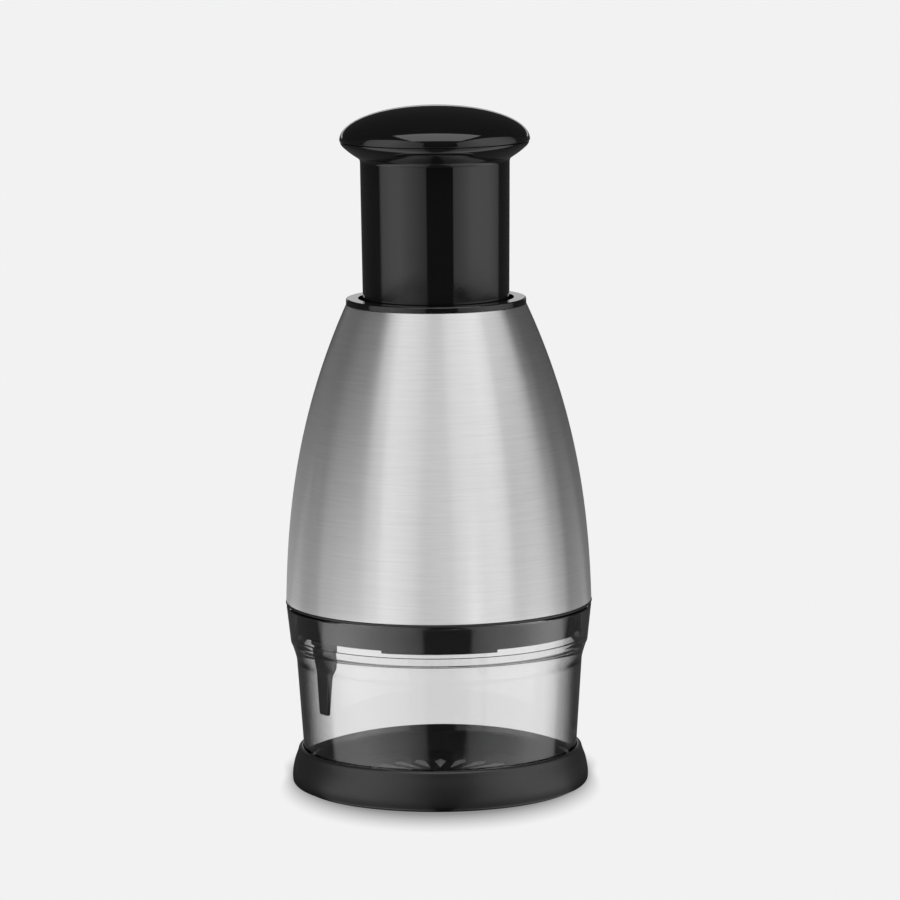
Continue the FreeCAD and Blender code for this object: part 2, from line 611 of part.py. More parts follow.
def inner_housing():
    """Moulded liner under the steel, with the skirt that locks into the cup."""
    wall = bell_wall(liner_offset, LINER_WALL, shell_z, shell_top_z - LINER_TOP_GAP)
    skirt = ring(skirt_bore_r, skirt_r, skirt_z, shell_z + SKIRT_JOIN)
    tab = sector(skirt_bore_r, skirt_r, skirt_z - SKIRT_TAB_DROP, skirt_z + LAP, -90, SKIRT_TAB_SPAN)
    web = disc(bell_r(web_z, liner_offset + LINER_WALL / 2), web_z, web_top_z)
    boss_z = bearing_top_z + SEAT_GAP
    boss_top_z = bearing_top_z + PLATE_BOSS_H
    boss = disc(PLATE_BOSS_R, boss_z, boss_top_z, plate_boss_r())
    boss = boss.fuse(disc(PLATE_BOSS_R, boss_z, boss_top_z, plate_boss_r() + PLATE_BOSS_WEB))
    keep = liner_offset + PLATE_BOSS_KEEP
    inside = turned([bell_edge(keep, bearing_top_z, web_z),
                     *path((bell_r(web_z, keep), web_z), (0, web_z), (0, bearing_top_z),
                           (bell_r(bearing_top_z, keep), bearing_top_z))])
    bosses = Part.Compound(round_copies(boss, PLATE_SCREWS, PLATE_SCREW_ANGLE)).common(inside)
    body = wall.fuse([skirt, web, bosses] + round_copies(tab, SKIRT_TABS))
    body = body.cut(disc(TUBE_R + WEB_CLEAR, web_z - PAST, web_top_z + PAST))
    cuts = round_copies(lock_slot(), LOCK_RIBS)
    cuts.append(disc(hole_r + COLLAR_SLEEVE + SEAT_GAP, web_top_z, shell_top_z))
    pilot = disc(SCREW_R + THREAD_GAP, bearing_top_z - PAST, bearing_top_z + PLATE_PILOT, plate_boss_r())
    cuts += round_copies(pilot, PLATE_SCREWS, PLATE_SCREW_ANGLE)
    passage = disc(SCREW_R + THREAD_GAP + SEAT_GAP, web_z - PAST, web_top_z + PAST, collar_screw_r)
    cuts += round_copies(passage, COLLAR_SCREWS, COLLAR_SCREW_ANGLE)
    boss_room = disc(COLLAR_BOSS_R + SEAT_GAP, web_top_z, web_top_z + COLLAR_BOSS_H + SEAT_GAP, collar_screw_r)
    head_room = disc(SCREW_HEAD_R + SEAT_GAP, web_z - SCREW_HEAD_H - SEAT_GAP, web_z, collar_screw_r)
    cuts += round_copies(boss_room.fuse(head_room), COLLAR_SCREWS, COLLAR_SCREW_ANGLE)
    return body.cut(cuts)


def guide_collar():
    """Top collar: flange over the shell's edge, sleeve, and bosses for its screws."""
    outer_r = hole_r + COLLAR_SLEEVE
    inner_r = bush_bore_r + BUSH_LIP_GAP
    round_middle = (flange_r - COLLAR_ROUND, collar_top_z - COLLAR_ROUND)
    edges = path((hole_r, web_top_z + BUSH_LIP), (hole_r, collar_top_z), (round_middle[0], collar_top_z))
    edges.append(arc((round_middle[0], collar_top_z), on_circle(round_middle, COLLAR_ROUND, 45),
                     (flange_r, round_middle[1])))
    edges += path((flange_r, round_middle[1]), (flange_r, collar_z), (outer_r, collar_z),
                  (outer_r, web_top_z), (inner_r, web_top_z), (inner_r, web_top_z + BUSH_LIP),
                  (hole_r, web_top_z + BUSH_LIP))
    boss = disc(COLLAR_BOSS_R, web_top_z, web_top_z + COLLAR_BOSS_H, collar_screw_r)
    bridge = Part.makeBox(collar_screw_r - outer_r + LAP, COLLAR_BOSS_R, COLLAR_BOSS_H,
                          V(outer_r - LAP, -COLLAR_BOSS_R / 2, web_top_z))
    pilot = disc(SCREW_R + THREAD_GAP, web_top_z - PAST, web_top_z + COLLAR_PILOT, collar_screw_r)
    body = turned(edges).fuse(round_copies(boss.fuse(bridge), COLLAR_SCREWS, COLLAR_SCREW_ANGLE))
    return body.cut(round_copies(pilot, COLLAR_SCREWS, COLLAR_SCREW_ANGLE))


def guide_bush():
    """Plain bush inside the collar that the plunger slides in."""
    low = web_top_z + BUSH_LIP
    return ring(bush_bore_r, hole_r - THREAD_GAP, low, low + BUSH_H)


def collar_screws():
    """Screws that hold the collar down to the liner's web."""
    one = screw(collar_screw_r, 0, web_z, WEB_T + COLLAR_SCREW_GRIP)
    return Part.Compound(round_copies(one, COLLAR_SCREWS, COLLAR_SCREW_ANGLE))


def bearing_plate():
    """Plate across the liner that carries the nut, the guide sleeve and the spring."""
    edge_r = bell_r(bearing_top_z, liner_offset + LINER_WALL + BEARING_EDGE_GAP)
    inside_r = seat_r + BEARING_RIB_IN
    body = disc(edge_r, bearing_z, bearing_top_z)
    body = body.fuse(disc(sleeve_r, bearing_z, sleeve_top_z))
    rib = Part.makeBox(edge_r - BEARING_RIB_OUT - inside_r, BEARING_RIB_W, BEARING_RIB_H + LAP,
                       V(inside_r, -BEARING_RIB_W / 2, bearing_top_z - LAP))
    body = body.fuse(round_copies(rib, BEARING_RIBS))
    body = body.cut(disc(sleeve_bore_r, bearing_top_z, sleeve_top_z + PAST))
    body = body.cut(disc(shaft_corner_r + 2 * RUN_GAP, bearing_z - PAST, bearing_top_z + PAST))
    slot = Part.makeBox(LAP + KEY_H + KEY_GAP, KEY_W + 2 * KEY_GAP, sleeve_top_z - nut_top_z,
                        V(sleeve_bore_r - LAP, -KEY_W / 2 - KEY_GAP, nut_top_z + PAST))
    body = body.cut(round_copies(slot, KEYS))
    hole = disc(SCREW_R + THREAD_GAP + SEAT_GAP, bearing_z - PAST, bearing_top_z + PAST, plate_boss_r())
    return body.cut(round_copies(hole, PLATE_SCREWS, PLATE_SCREW_ANGLE)).removeSplitter()


def plate_screws():
    """Screws that hold the bearing plate up to the liner's bosses."""
    one = screw(plate_boss_r(), 0, bearing_z, BEARING_T + PLATE_SCREW_GRIP)
    return Part.Compound(round_copies(one, PLATE_SCREWS, PLATE_SCREW_ANGLE))


def square(side, level):
    """A level square wire turned as the twisted shaft is at that height."""
    half = side / 2
    wire = Part.makePolygon([V(x, y, level) for x, y in
                             ((-half, -half), (half, -half), (half, half), (-half, half), (-half, -half))])
    wire.rotate(CENTRE, UP, -SHAFT_TURN * (level - twist_z) / stroke)
    return wire


def twisted_bar(side, low, high, sections):
    """A square bar whose flats wind evenly round its axis."""
    levels = [low + (high - low) * step / sections for step in range(sections + 1)]
    return Part.makeLoft([square(side, level) for level in levels], True, True)


def index_nut():
    """Nut whose twisted square hole turns the shaft, with ratchet teeth round its top."""
    corners = []
    for tooth in range(RATCHET_TEETH):
        for radius in (ratchet_root_r, ratchet_root_r + RATCHET_TOOTH):
            x, y = at_angle(radius, 360.0 * tooth / RATCHET_TEETH)
            corners.append(V(x, y, nut_top_z - RATCHET_H))
    crown = Part.Face(Part.makePolygon(corners + [corners[0]])).extrude(V(0, 0, RATCHET_H))
    body = disc(sleeve_bore_r - THREAD_GAP, bearing_top_z, nut_top_z - RATCHET_H)
    hole = twisted_bar(SHAFT_SQUARE + 2 * SPLINE_GAP, bearing_top_z - PAST, nut_top_z + PAST, NUT_SECTIONS)
    return body.fuse(crown).cut(hole)


def ratchet_ring():
    """Spring ring in the sleeve, with two fingers whose tips catch the nut's teeth."""
    outer = sleeve_bore_r - THREAD_GAP
    inner = outer - PAWL_T
    low = nut_top_z - RATCHET_H + SEAT_GAP
    tip_r = ratchet_root_r + RATCHET_TOOTH / 4
    root_r = inner + PAWL_T / 2
    corners = [(tip_r, PAWL_TIP_ANGLE), (root_r, PAWL_ROOT_ANGLES[0]), (root_r, PAWL_ROOT_ANGLES[1]),
               (tip_r + PAWL_T / 2, PAWL_TIP_ANGLE)]
    points = [V(*at_angle(radius, angle), low) for radius, angle in corners]
    finger = Part.Face(Part.makePolygon(points + [points[0]])).extrude(V(0, 0, PAWL_H))
    return ring(inner, outer, low, low + PAWL_H).fuse(round_copies(finger, PAWLS))


# ---------------------------------------------------------------- plunger
def tube_r(level):
    """Outer radius of the drafted plunger tube at a level."""
    return TUBE_R + TUBE_TAPER * (level - collar_top_z)


def plunger_tube():
    """Hollow plunger: lip, drafted tube, head, and the flared underside of the knob."""
    bore = tube_r(lip_z) - TUBE_WALL
    neck = (tube_neck_r, neck_z)
    bend = (tube_neck_r + NECK_MIDDLE[0] * NECK_ROUND, neck_z + NECK_MIDDLE[1] * NECK_ROUND)
    flare_low = (tube_neck_r + NECK_END[0] * NECK_ROUND, neck_z + NECK_END[1] * NECK_ROUND)
    flare_top = (knob_r - FLARE_END[0], seam_z - FLARE_END[1])
    edge = (knob_r - FLARE_EDGE_IN, seam_z - KNOB_SEAM)
    socket_r = spigot_r + SEAT_GAP
    socket_z = edge[1] - CAP_SPIGOT
    hollow_r = tube_neck_r - TUBE_WALL
    screw_hole_r = knob_shank_r + SEAT_GAP
    edges = path((bore, lip_z), (lip_r, lip_z), (lip_r, lip_top_z), (tube_r(lip_top_z), lip_top_z), neck)
    edges.append(arc(neck, bend, flare_low))
    edges.append(line(flare_low, flare_top))
    edges.append(arc(flare_top, (knob_r - FLARE_BEND[0], seam_z - FLARE_BEND[1]), edge))
    edges += path(edge, (socket_r, edge[1]), (socket_r, socket_z), (hollow_r, neck_z + TUBE_MOUTH),
                  (hollow_r, head_top_z), (screw_hole_r, head_top_z), (screw_hole_r, head_z),
                  (bore, head_z), (bore, lip_z))
    return turned(edges)


def dome_edge(radius, height):
    """The dome's curve from its widest level up to its middle, half of a symmetric one."""
    half = []
    for step in range(DOME_STEPS + 1):
        turn = math.radians(90 - 90.0 * step / DOME_STEPS)
        half.append((radius * math.sin(turn) ** (2 / DOME_POWER), knob_wide_z + height * math.cos(turn)))
    spline = Part.BSplineCurve()
    spline.interpolate([V(r, 0, z) for r, z in half + [(-r, z) for r, z in half[-2::-1]]])
    return spline.toShape(spline.FirstParameter, spline.parameter(V(half[-1][0], 0, half[-1][1])))


def knob_cap():
    """Domed palm knob, pressed into the flared top of the plunger."""
    inner_r = spigot_r - CAP_SPIGOT_WALL
    low = (knob_r - KNOB_SEAM_IN, seam_z)
    wide = (knob_r, knob_wide_z)
    edges = [arc(low, (knob_r - KNOB_EDGE_BOW, seam_z + KNOB_RIM_RISE / 2), wide),
             dome_edge(knob_r, DOME_H), dome_edge(inner_r, DOME_H - KNOB_WALL)]
    edges += path((0, knob_top_z), (0, knob_top_z - KNOB_WALL))
    edges += path((inner_r, knob_wide_z), (inner_r, seam_z - CAP_SPIGOT), (spigot_r, seam_z - CAP_SPIGOT),
                  (spigot_r, seam_z), low)
    return turned(edges)


def knob_screw():
    """Screw through the plunger's head into the push rod, under the knob cap."""
    return screw(0, 0, head_top_z, TUBE_HEAD_T + KNOB_SCREW_GRIP, KNOB_SCREW_SCALE, downwards=True)


def push_rod():
    """Hollow keyed rod from the plunger's head down to the blade shaft."""
    body = disc(ROD_R, rod_z, head_z).cut(disc(ROD_R - ROD_WALL, rod_z + ROD_WEB, head_z - ROD_PLUG))
    key = Part.makeBox(KEY_H + LAP, KEY_W, seat_z - rod_z, V(ROD_R - LAP, -KEY_W / 2, rod_z))
    body = body.fuse(round_copies(key, KEYS))
    body = body.cut(disc(JOURNAL_R + JOURNAL_GAP, rod_z - PAST, rod_z + ROD_WEB + PAST))
    pilot = disc(knob_shank_r + THREAD_GAP, head_z - ROD_PILOT, head_z + PAST)
    return body.cut(pilot).removeSplitter()


def spring_seat():
    """Washer under the plunger's head that the return spring pushes up."""
    return ring(ROD_R + KEY_H + KEY_GAP, seat_r, seat_z, head_z)


def stop_ring():
    """Rubber ring on the plunger's lip that meets the liner's web at the top of the stroke."""
    return ring(tube_r(lip_top_z) + SEAT_GAP, lip_r - KEY_GAP, lip_top_z, lip_top_z + STOP_RING_H)


def return_spring():
    """Long coil spring between the bearing plate and the seat under the head."""
    return coil(spring_r, SPRING_WIRE_R, bearing_top_z + SEAT_GAP, seat_z - SEAT_GAP, SPRING_TURNS)


# ---------------------------------------------------------------- blades
def blade_shaft():
    """Steel shaft: round foot, twisted square stretch, and a journal at the top."""
    body = disc(SHAFT_R, shaft_foot_z, hub_boss_z + SEAT_GAP)
    body = body.fuse(disc(shaft_corner_r + SEAT_GAP, hub_boss_z + SEAT_GAP, twist_z))
    body = body.fuse(twisted_bar(SHAFT_SQUARE, twist_z, twist_top_z, SHAFT_SECTIONS))
    body = body.fuse(disc(JOURNAL_R, twist_top_z, journal_top_z))
    body = body.cut(disc(PIVOT_SCREW_R + THREAD_GAP, journal_top_z - PIVOT_SCREW_L, journal_top_z + PAST))
    return body.cut(cross_hole())


def cross_hole():
    """Hole across the hub's boss and the shaft's foot for the pin that joins them."""
    half = HUB_BOSS_R + PAST
    return Part.makeCylinder(HUB_PIN_R + THREAD_GAP, 2 * half, V(-half, 0, hub_pin_z), V(1, 0, 0))


def hub_pin():
    """Cross pin through the hub's boss and the shaft's foot."""
    half = HUB_BOSS_R - HUB_PIN_END
    return Part.makeCylinder(HUB_PIN_R, 2 * half, V(-half, 0, hub_pin_z), V(1, 0, 0))


def thrust_washer():
    """Washer between the twisted stretch and the push rod."""
    return ring(JOURNAL_R + SEAT_GAP, WASHER_R, twist_top_z, twist_top_z + WASHER_T)


def pivot_washer():
    """Washer on the journal's end, above the push rod's web."""
    return ring(PIVOT_SCREW_R + SEAT_GAP, WASHER_R, journal_top_z, journal_top_z + WASHER_T)


def pivot_screw():
    """Screw into the journal that keeps the shaft on the push rod."""
    scale = PIVOT_SCREW_R / SCREW_R
    seat = journal_top_z + WASHER_T
    return screw(0, 0, seat, PIVOT_SCREW_L, scale, downwards=True)


def zigzag_corners():
    """Corners of the folded blade in plan, the second half opposite the first."""
    half = [at_angle(share * (hub_r - BLADE_INSET), angle) for share, angle in BLADE_CORNERS]
    return half + [(-x, -y) for x, y in reversed(half)]


def strip_wire(thickness, level, overrun=0.0):
    """Outline in plan of the folded strip, with mitred corners."""
    corners = [V(x, y, 0) for x, y in zigzag_corners()]
    heads = [(b - a).normalize() for a, b in zip(corners, corners[1:])]
    corners[0] = corners[0] - heads[0] * overrun
    corners[-1] = corners[-1] + heads[-1] * overrun
    left = []
    right = []
    for number, corner in enumerate(corners):
        before = heads[max(number - 1, 0)]
        after = heads[min(number, len(heads) - 1)]
        across = V(-before.y - after.y, before.x + after.x, 0).normalize()
        half = thickness / 2 / (across.x * -before.y + across.y * before.x)
        left.append(corner + across * half)
        right.append(corner - across * half)
    loop = left + right[::-1]
    wire = Part.makePolygon(loop + [loop[0]])
    wire.translate(V(0, 0, level))
    return wire


def strip(thickness, low, high, overrun=0.0):
    """The folded strip between two levels."""
    return Part.Face(strip_wire(thickness, low, overrun)).extrude(V(0, 0, high - low))


def zigzag_blade():
    """One stainless strip folded into a zigzag, ground to an edge below."""
    ground = Part.makeLoft([strip_wire(BLADE_EDGE_T, blade_edge_z),
                            strip_wire(BLADE_T, blade_edge_z + BLADE_EDGE_H)], True, True)
    return ground.fuse(strip(BLADE_T, blade_edge_z + BLADE_EDGE_H, hub_z + BLADE_INSERT)).removeSplitter()


def blade_hub():
    """Ribbed disc that holds the strip's upper edge, with a boss for the shaft."""
    top = hub_z + HUB_T
    body = disc(hub_r, hub_z, top).fuse(disc(HUB_BOSS_R, hub_z, hub_boss_z))
    rib = Part.makeBox(hub_r - HUB_BOSS_R - LAP, HUB_RIB_W, HUB_RIB_H + LAP,
                       V(HUB_BOSS_R - LAP, -HUB_RIB_W / 2, top - LAP))
    body = body.fuse(round_copies(rib, HUB_RIBS, HUB_RIB_ANGLE))
    body = body.fuse(ring(hub_r - HUB_RIB_W, hub_r, top - LAP, top + HUB_RIB_H))
    body = body.cut(strip(BLADE_T + SEAT_GAP, hub_z - PAST, hub_z + BLADE_INSERT + THREAD_GAP, SEAT_GAP))
    body = body.cut(disc(SHAFT_R + THREAD_GAP, shaft_foot_z - SEAT_GAP, hub_boss_z + PAST))
    holes = round_copies(disc(PIN_R + THREAD_GAP, hub_z - PAST, top - PIN_CAP, *PIN_AT), PIN_COUNT)
    return body.cut(holes + [cross_hole()]).removeSplitter()


def wiper_pins():
    """Headed guide pins that hang from the hub and carry the wiper plate."""
    low = wiper_z + PIN_HEAD_SINK
    pin = disc(PIN_HEAD_R, low, low + PIN_HEAD_H, *PIN_AT)
    pin = pin.fuse(disc(PIN_R, low, hub_z + HUB_T - PIN_CAP - SEAT_GAP, *PIN_AT))
    return Part.Compound(round_copies(pin, PIN_COUNT))


# ---------------------------------------------------------------- wiper
def wiper_plate():
    """Plate that strips the food off the blades, slotted to their zigzag."""
    top = wiper_z + WIPER_T
    body = disc(wiper_r, wiper_z, top)
    body = body.fuse(ring(wiper_r - WIPER_RIM_W, wiper_r, top - LAP, top + WIPER_RIM_H))
    body = body.cut(strip(BLADE_T + 2 * WIPER_SLOT_GAP, wiper_z - PAST, top + PAST, WIPER_SLOT_GAP))
    shank = disc(PIN_R + RUN_GAP, wiper_z - PAST, top + PAST, *PIN_AT)
    sink_z = wiper_z + PIN_HEAD_SINK + PIN_HEAD_H + RUN_GAP
    sink = disc(PIN_HEAD_R + RUN_GAP, wiper_z - PAST, sink_z, *PIN_AT)
    return body.cut(round_copies(shank.fuse(sink), PIN_COUNT)).removeSplitter()


def wiper_springs():
    """Light springs on the guide pins that press the wiper plate down."""
    spring = coil(WIPER_SPRING_R, WIPER_SPRING_WIRE_R, wiper_z + WIPER_T + SEAT_GAP, hub_z - SEAT_GAP,
                  WIPER_SPRING_TURNS)
    spring.translate(V(*PIN_AT, 0))
    return Part.Compound(round_copies(spring, PIN_COUNT))


NODES = (base_cap, foot_ring, chopping_plate, cup_seal, cup, steel_shell, trim_ring, inner_housing,
         guide_collar, guide_bush, collar_screws, bearing_plate, plate_screws, index_nut, ratchet_ring,
         plunger_tube, knob_cap, knob_screw, push_rod, spring_seat, stop_ring, return_spring,
         blade_shaft, thrust_washer, pivot_washer, pivot_screw, blade_hub, hub_pin, zigzag_blade,
         wiper_pins, wiper_plate, wiper_springs)

os.makedirs("parts", exist_ok=True)
for node in NODES:
    write(node.__name__, node())
print(f"height {knob_top_z:.2f}, stroke {stroke:.2f}, shell {shell_z:.2f} to {shell_top_z:.2f}")
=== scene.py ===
"""Looks for the plunger food chopper: finishes, fine pieces, soft studio light and the camera."""
import bpy
import math
from mathutils import Matrix, Vector


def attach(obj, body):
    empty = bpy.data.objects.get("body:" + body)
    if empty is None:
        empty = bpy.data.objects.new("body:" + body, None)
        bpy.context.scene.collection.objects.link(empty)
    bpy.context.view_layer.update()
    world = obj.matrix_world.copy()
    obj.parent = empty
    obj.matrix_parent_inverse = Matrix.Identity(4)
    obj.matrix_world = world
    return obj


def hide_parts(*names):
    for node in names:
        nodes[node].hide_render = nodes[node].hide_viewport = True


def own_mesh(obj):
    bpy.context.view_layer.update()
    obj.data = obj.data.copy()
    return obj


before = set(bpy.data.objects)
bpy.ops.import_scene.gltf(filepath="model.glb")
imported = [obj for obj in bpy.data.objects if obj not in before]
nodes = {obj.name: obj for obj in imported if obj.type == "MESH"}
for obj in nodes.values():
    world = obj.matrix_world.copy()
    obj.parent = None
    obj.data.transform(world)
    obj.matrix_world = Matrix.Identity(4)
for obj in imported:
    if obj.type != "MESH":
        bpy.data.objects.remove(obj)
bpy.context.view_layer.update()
MM = 0.001

# sizes in millimetres that the finishes and the pieces share
PLATE_LOW, PLATE_TOP, STAR_TOP = 4.2, 6.2, 6.8
STAR_IN, STAR_OUT, STAR_WIDE_AT = 3.2, 31.0, 24.0
PLATE_BOSS = (1.5, 2.5)        # radii between which the lighter star begins
BASE_SATIN = (45.25, 45.6)     # radii between which the base's polish turns to satin


# ---------------------------------------------------------------- shader maths
class Wire:
    """A node's output that Python's operators work on, each adding its Math node."""

    def __init__(self, finish, socket):
        self.finish = finish
        self.socket = socket

    def maths(self, operation, *values):
        return self.finish.node("ShaderNodeMath", {"operation": operation},
                                dict(enumerate(values)))

    def __add__(self, other):
        return self.maths("ADD", self, other)

    def __sub__(self, other):
        return self.maths("SUBTRACT", self, other)

    def __mul__(self, other):
        return self.maths("MULTIPLY", self, other)

    def __truediv__(self, other):
        return self.maths("DIVIDE", self, other)

    def __pow__(self, other):
        return self.maths("POWER", self, other)

    def __rsub__(self, other):
        return self.maths("SUBTRACT", other, self)

    __radd__ = __add__
    __rmul__ = __mul__


class Finish:
    """A material, or the world, in the making."""

    def __init__(self, owner):
        owner.use_nodes = True
        self.owner = owner
        self.tree = owner.node_tree
        self.tree.nodes.clear()

    def node(self, kind, settings=None, inputs=None, output=0):
        """Add a node, give it its settings, then fill its sockets with values or links."""
        made = self.tree.nodes.new(kind)
        for key, value in (settings or {}).items():
            if key == "stops":
                stops = made.color_ramp.elements
                for place, shade in value[1:-1]:
                    stops.new(place).color = (shade, shade, shade, 1)
                for stop, (place, shade) in ((stops[0], value[0]), (stops[-1], value[-1])):
                    stop.position = place
                    stop.color = (shade, shade, shade, 1)
            else:
                setattr(made, key, value)
        for key, value in (inputs or {}).items():
            if isinstance(value, Wire):
                self.tree.links.new(value.socket, made.inputs[key])
            else:
                made.inputs[key].default_value = value
        return Wire(self, made.outputs[output]) if made.outputs else None

    def place(self, scale=(1, 1, 1)):
        """The point on the piece, in metres, stretched by a scale along each axis."""
        point = self.node("ShaderNodeTexCoord", output="Object")
        return self.node("ShaderNodeMapping", {"vector_type": "POINT"},
                         {"Vector": point, "Scale": scale})

    def along(self, axis):
        """How far the point lies along one axis, in metres."""
        return self.node("ShaderNodeSeparateXYZ", {}, {"Vector": self.place()}, output=axis)

    def length(self, vector):
        return self.node("ShaderNodeVectorMath", {"operation": "LENGTH"}, {0: vector},
                         output="Value")

    def from_axis(self):
        """The point's distance from the middle axis, in metres."""
        return self.length(self.place((1, 1, 0)))

    def noise(self, scale, detail=3.0, roughness=0.5, stretch=(1, 1, 1)):
        """Cloudy noise, from 0 to 1."""
        return self.node("ShaderNodeTexNoise", {}, {
            "Vector": self.place(stretch), "Scale": scale, "Detail": detail,
            "Roughness": roughness})

    def spread(self, value, low, high, start=0.0, end=1.0):
        """The value moved from one range to another, and held inside it."""
        return self.node("ShaderNodeMapRange", {"clamp": True}, {
            "Value": value, "From Min": start, "From Max": end, "To Min": low, "To Max": high})

    def tint(self, factor, first, second):
        """A colour between two others."""
        return self.node("ShaderNodeMix", {"data_type": "RGBA"}, {
            0: factor, 6: (*first, 1), 7: (*second, 1)}, output=2)

    def bump(self, height, depth):
        return self.node("ShaderNodeBump", {}, {
            "Height": height, "Distance": depth, "Strength": 1.0})

    def close(self, shader, output="ShaderNodeOutputMaterial"):
        self.node(output, {}, {"Surface": shader})
        return self.owner


def grey(value):
    return (value, value, value)


def principled(name, **inputs):
    """A material with one Principled shader, whose inputs are values or links made by functions."""
    finish = Finish(bpy.data.materials.new(name))
    sockets = {}
    for key, value in inputs.items():
        key = key.replace("_", " ")
        sockets[key] = value(finish) if callable(value) else value
    return finish.close(finish.node("ShaderNodeBsdfPrincipled", {}, sockets))


def black_plastic(name, shade, rough, rough_more, peel):
    """Moulded black plastic, faintly clouded in shade and gloss, with the mould's fine waves."""
    return principled(
        name,
        Base_Color=lambda f: f.tint(f.noise(60), grey(shade), grey(shade * 1.35)),
        Roughness=lambda f: f.spread(f.noise(95, 5), rough, rough_more, 0.35, 0.7),
        IOR=1.5,
        Normal=lambda f: f.bump(f.noise(900, 2), peel))


polished_black = black_plastic("polished_black", 0.006, 0.035, 0.075, 0.0000008)
satin_black = black_plastic("satin_black", 0.014, 0.32, 0.42, 0.00002)
rubber_black = black_plastic("rubber_black", 0.02, 0.55, 0.7, 0.00003)


def brushed_steel():
    """Stainless steel brushed round the shell: fine level lines in gloss, shade and height."""
    finish = Finish(bpy.data.materials.new("shell_steel"))
    fine = finish.noise(1.0, 4, 0.65, (45, 45, 5200))
    broad = finish.noise(1.0, 3, 0.6, (60, 60, 1300))
    lines = fine * 0.5 + broad * 0.5
    return finish.close(finish.node("ShaderNodeBsdfPrincipled", {}, {
        "Base Color": finish.tint(finish.spread(lines, 0, 1, 0.35, 0.65),
                                  grey(0.68), grey(0.77)),
        "Metallic": 1.0,
        "Roughness": finish.spread(lines, 0.33, 0.39, 0.3, 0.7),
        "Anisotropic": 1.0,
        "Anisotropic Rotation": 0.25,
        "Normal": finish.bump(lines, 0.000007)}))


def bright_metal(name, shade, rough, stretch=(1, 1, 1)):
    """Plain bright metal with a faint grain."""
    return principled(
        name,
        Base_Color=lambda f: f.tint(f.noise(300, 3, 0.5, stretch),
                                    grey(shade * 0.9), grey(shade)),
        Metallic=1.0,
        Roughness=lambda f: f.spread(f.noise(500, 4, 0.6, stretch),
                                     rough * 0.8, rough * 1.25, 0.3, 0.7))


def clear_plastic():
    """Clear polished plastic, greyer in its depth, with shade painted into its colour towards its
    sides. Lamps shine through it.
    """
    finish = Finish(bpy.data.materials.new("cup_plastic"))
    side_on = finish.node("ShaderNodeLayerWeight", {}, {"Blend": 0.5}, output="Facing")
    # painted shade: the colour turns dark grey where the wall is seen side on, with a faint random
    # tone on top
    side_shade_and_tone = finish.spread(side_on, 0, 0.97, 0.38, 0.8) + finish.noise(30) * 0.03
    glass = finish.node("ShaderNodeBsdfPrincipled", {}, {
        "Base Color": finish.tint(side_shade_and_tone, grey(0.985), grey(0.06)),
        "Roughness": 0.0,
        "IOR": 1.49,
        "Transmission Weight": 1.0})
    open_to_lamps = finish.node("ShaderNodeBsdfTransparent", {}, {"Color": (0.9, 0.9, 0.9, 1)})
    lamp_ray = finish.node("ShaderNodeLightPath", output="Is Shadow Ray")
    depth = finish.node("ShaderNodeVolumeAbsorption", {}, {
        "Color": (0.88, 0.88, 0.88, 1), "Density": 300.0})
    surface = finish.node("ShaderNodeMixShader", {}, {0: lamp_ray, 1: glass, 2: open_to_lamps})
    finish.node("ShaderNodeOutputMaterial", {}, {"Surface": surface, "Volume": depth})
    return finish.owner


def base_plastic():
    """Satin black outside, and polished where the base's well holds the cup."""
    finish = Finish(bpy.data.materials.new("base_black"))
    outside = finish.spread(finish.from_axis(), 0, 1, *[radius * MM for radius in BASE_SATIN])
    cloud = finish.noise(95, 5)
    return finish.close(finish.node("ShaderNodeBsdfPrincipled", {}, {
        "Base Color": finish.tint(finish.noise(60), grey(0.013), grey(0.018)),
        "Roughness": 0.06 + outside * 0.26 + cloud * outside * 0.1,
        "IOR": 1.5,
        "Normal": finish.bump(finish.noise(900, 2) * outside, 0.00002)}))


def plate_plastic():
    """Polished black plate whose raised star is a lighter colour with a satin finish."""
    finish = Finish(bpy.data.materials.new("plate_black"))
    radius = finish.from_axis()
    raised = finish.spread(finish.along("Z"), 0, 1, (PLATE_TOP + 0.02) * MM, (PLATE_TOP + 0.1) * MM)
    past_boss = finish.spread(radius, 0, 1, *[edge * MM for edge in PLATE_BOSS])
    in_star = finish.spread(radius, 1, 0, (STAR_OUT + 1.0) * MM, (STAR_OUT + 1.5) * MM)
    star = raised * past_boss * in_star
    # the raised star's colour is made lighter, with a faint random tone
    lighter_star = star * finish.spread(finish.noise(900, 4, 0.6), 0.7, 1, 0.35, 0.65)
    return finish.close(finish.node("ShaderNodeBsdfPrincipled", {}, {
        "Base Color": finish.tint(lighter_star, grey(0.008), grey(0.45)),
        "Roughness": 0.05 + star * 0.4,
        "IOR": 1.5}))


brushed = brushed_steel()
clear = clear_plastic()
base_black = base_plastic()
plate_black = plate_plastic()
plated = bright_metal("plated_steel", 0.62, 0.2)
spring_wire = bright_metal("spring_wire", 0.5, 0.28)
ground_steel = bright_metal("ground_steel", 0.7, 0.22, (1, 1, 6))
acetal = principled(
    "acetal",
    Base_Color=lambda f: f.tint(f.noise(40), (0.78, 0.78, 0.75), (0.84, 0.84, 0.81)),
    Roughness=lambda f: f.spread(f.noise(120), 0.35, 0.5), Subsurface_Weight=0.05)

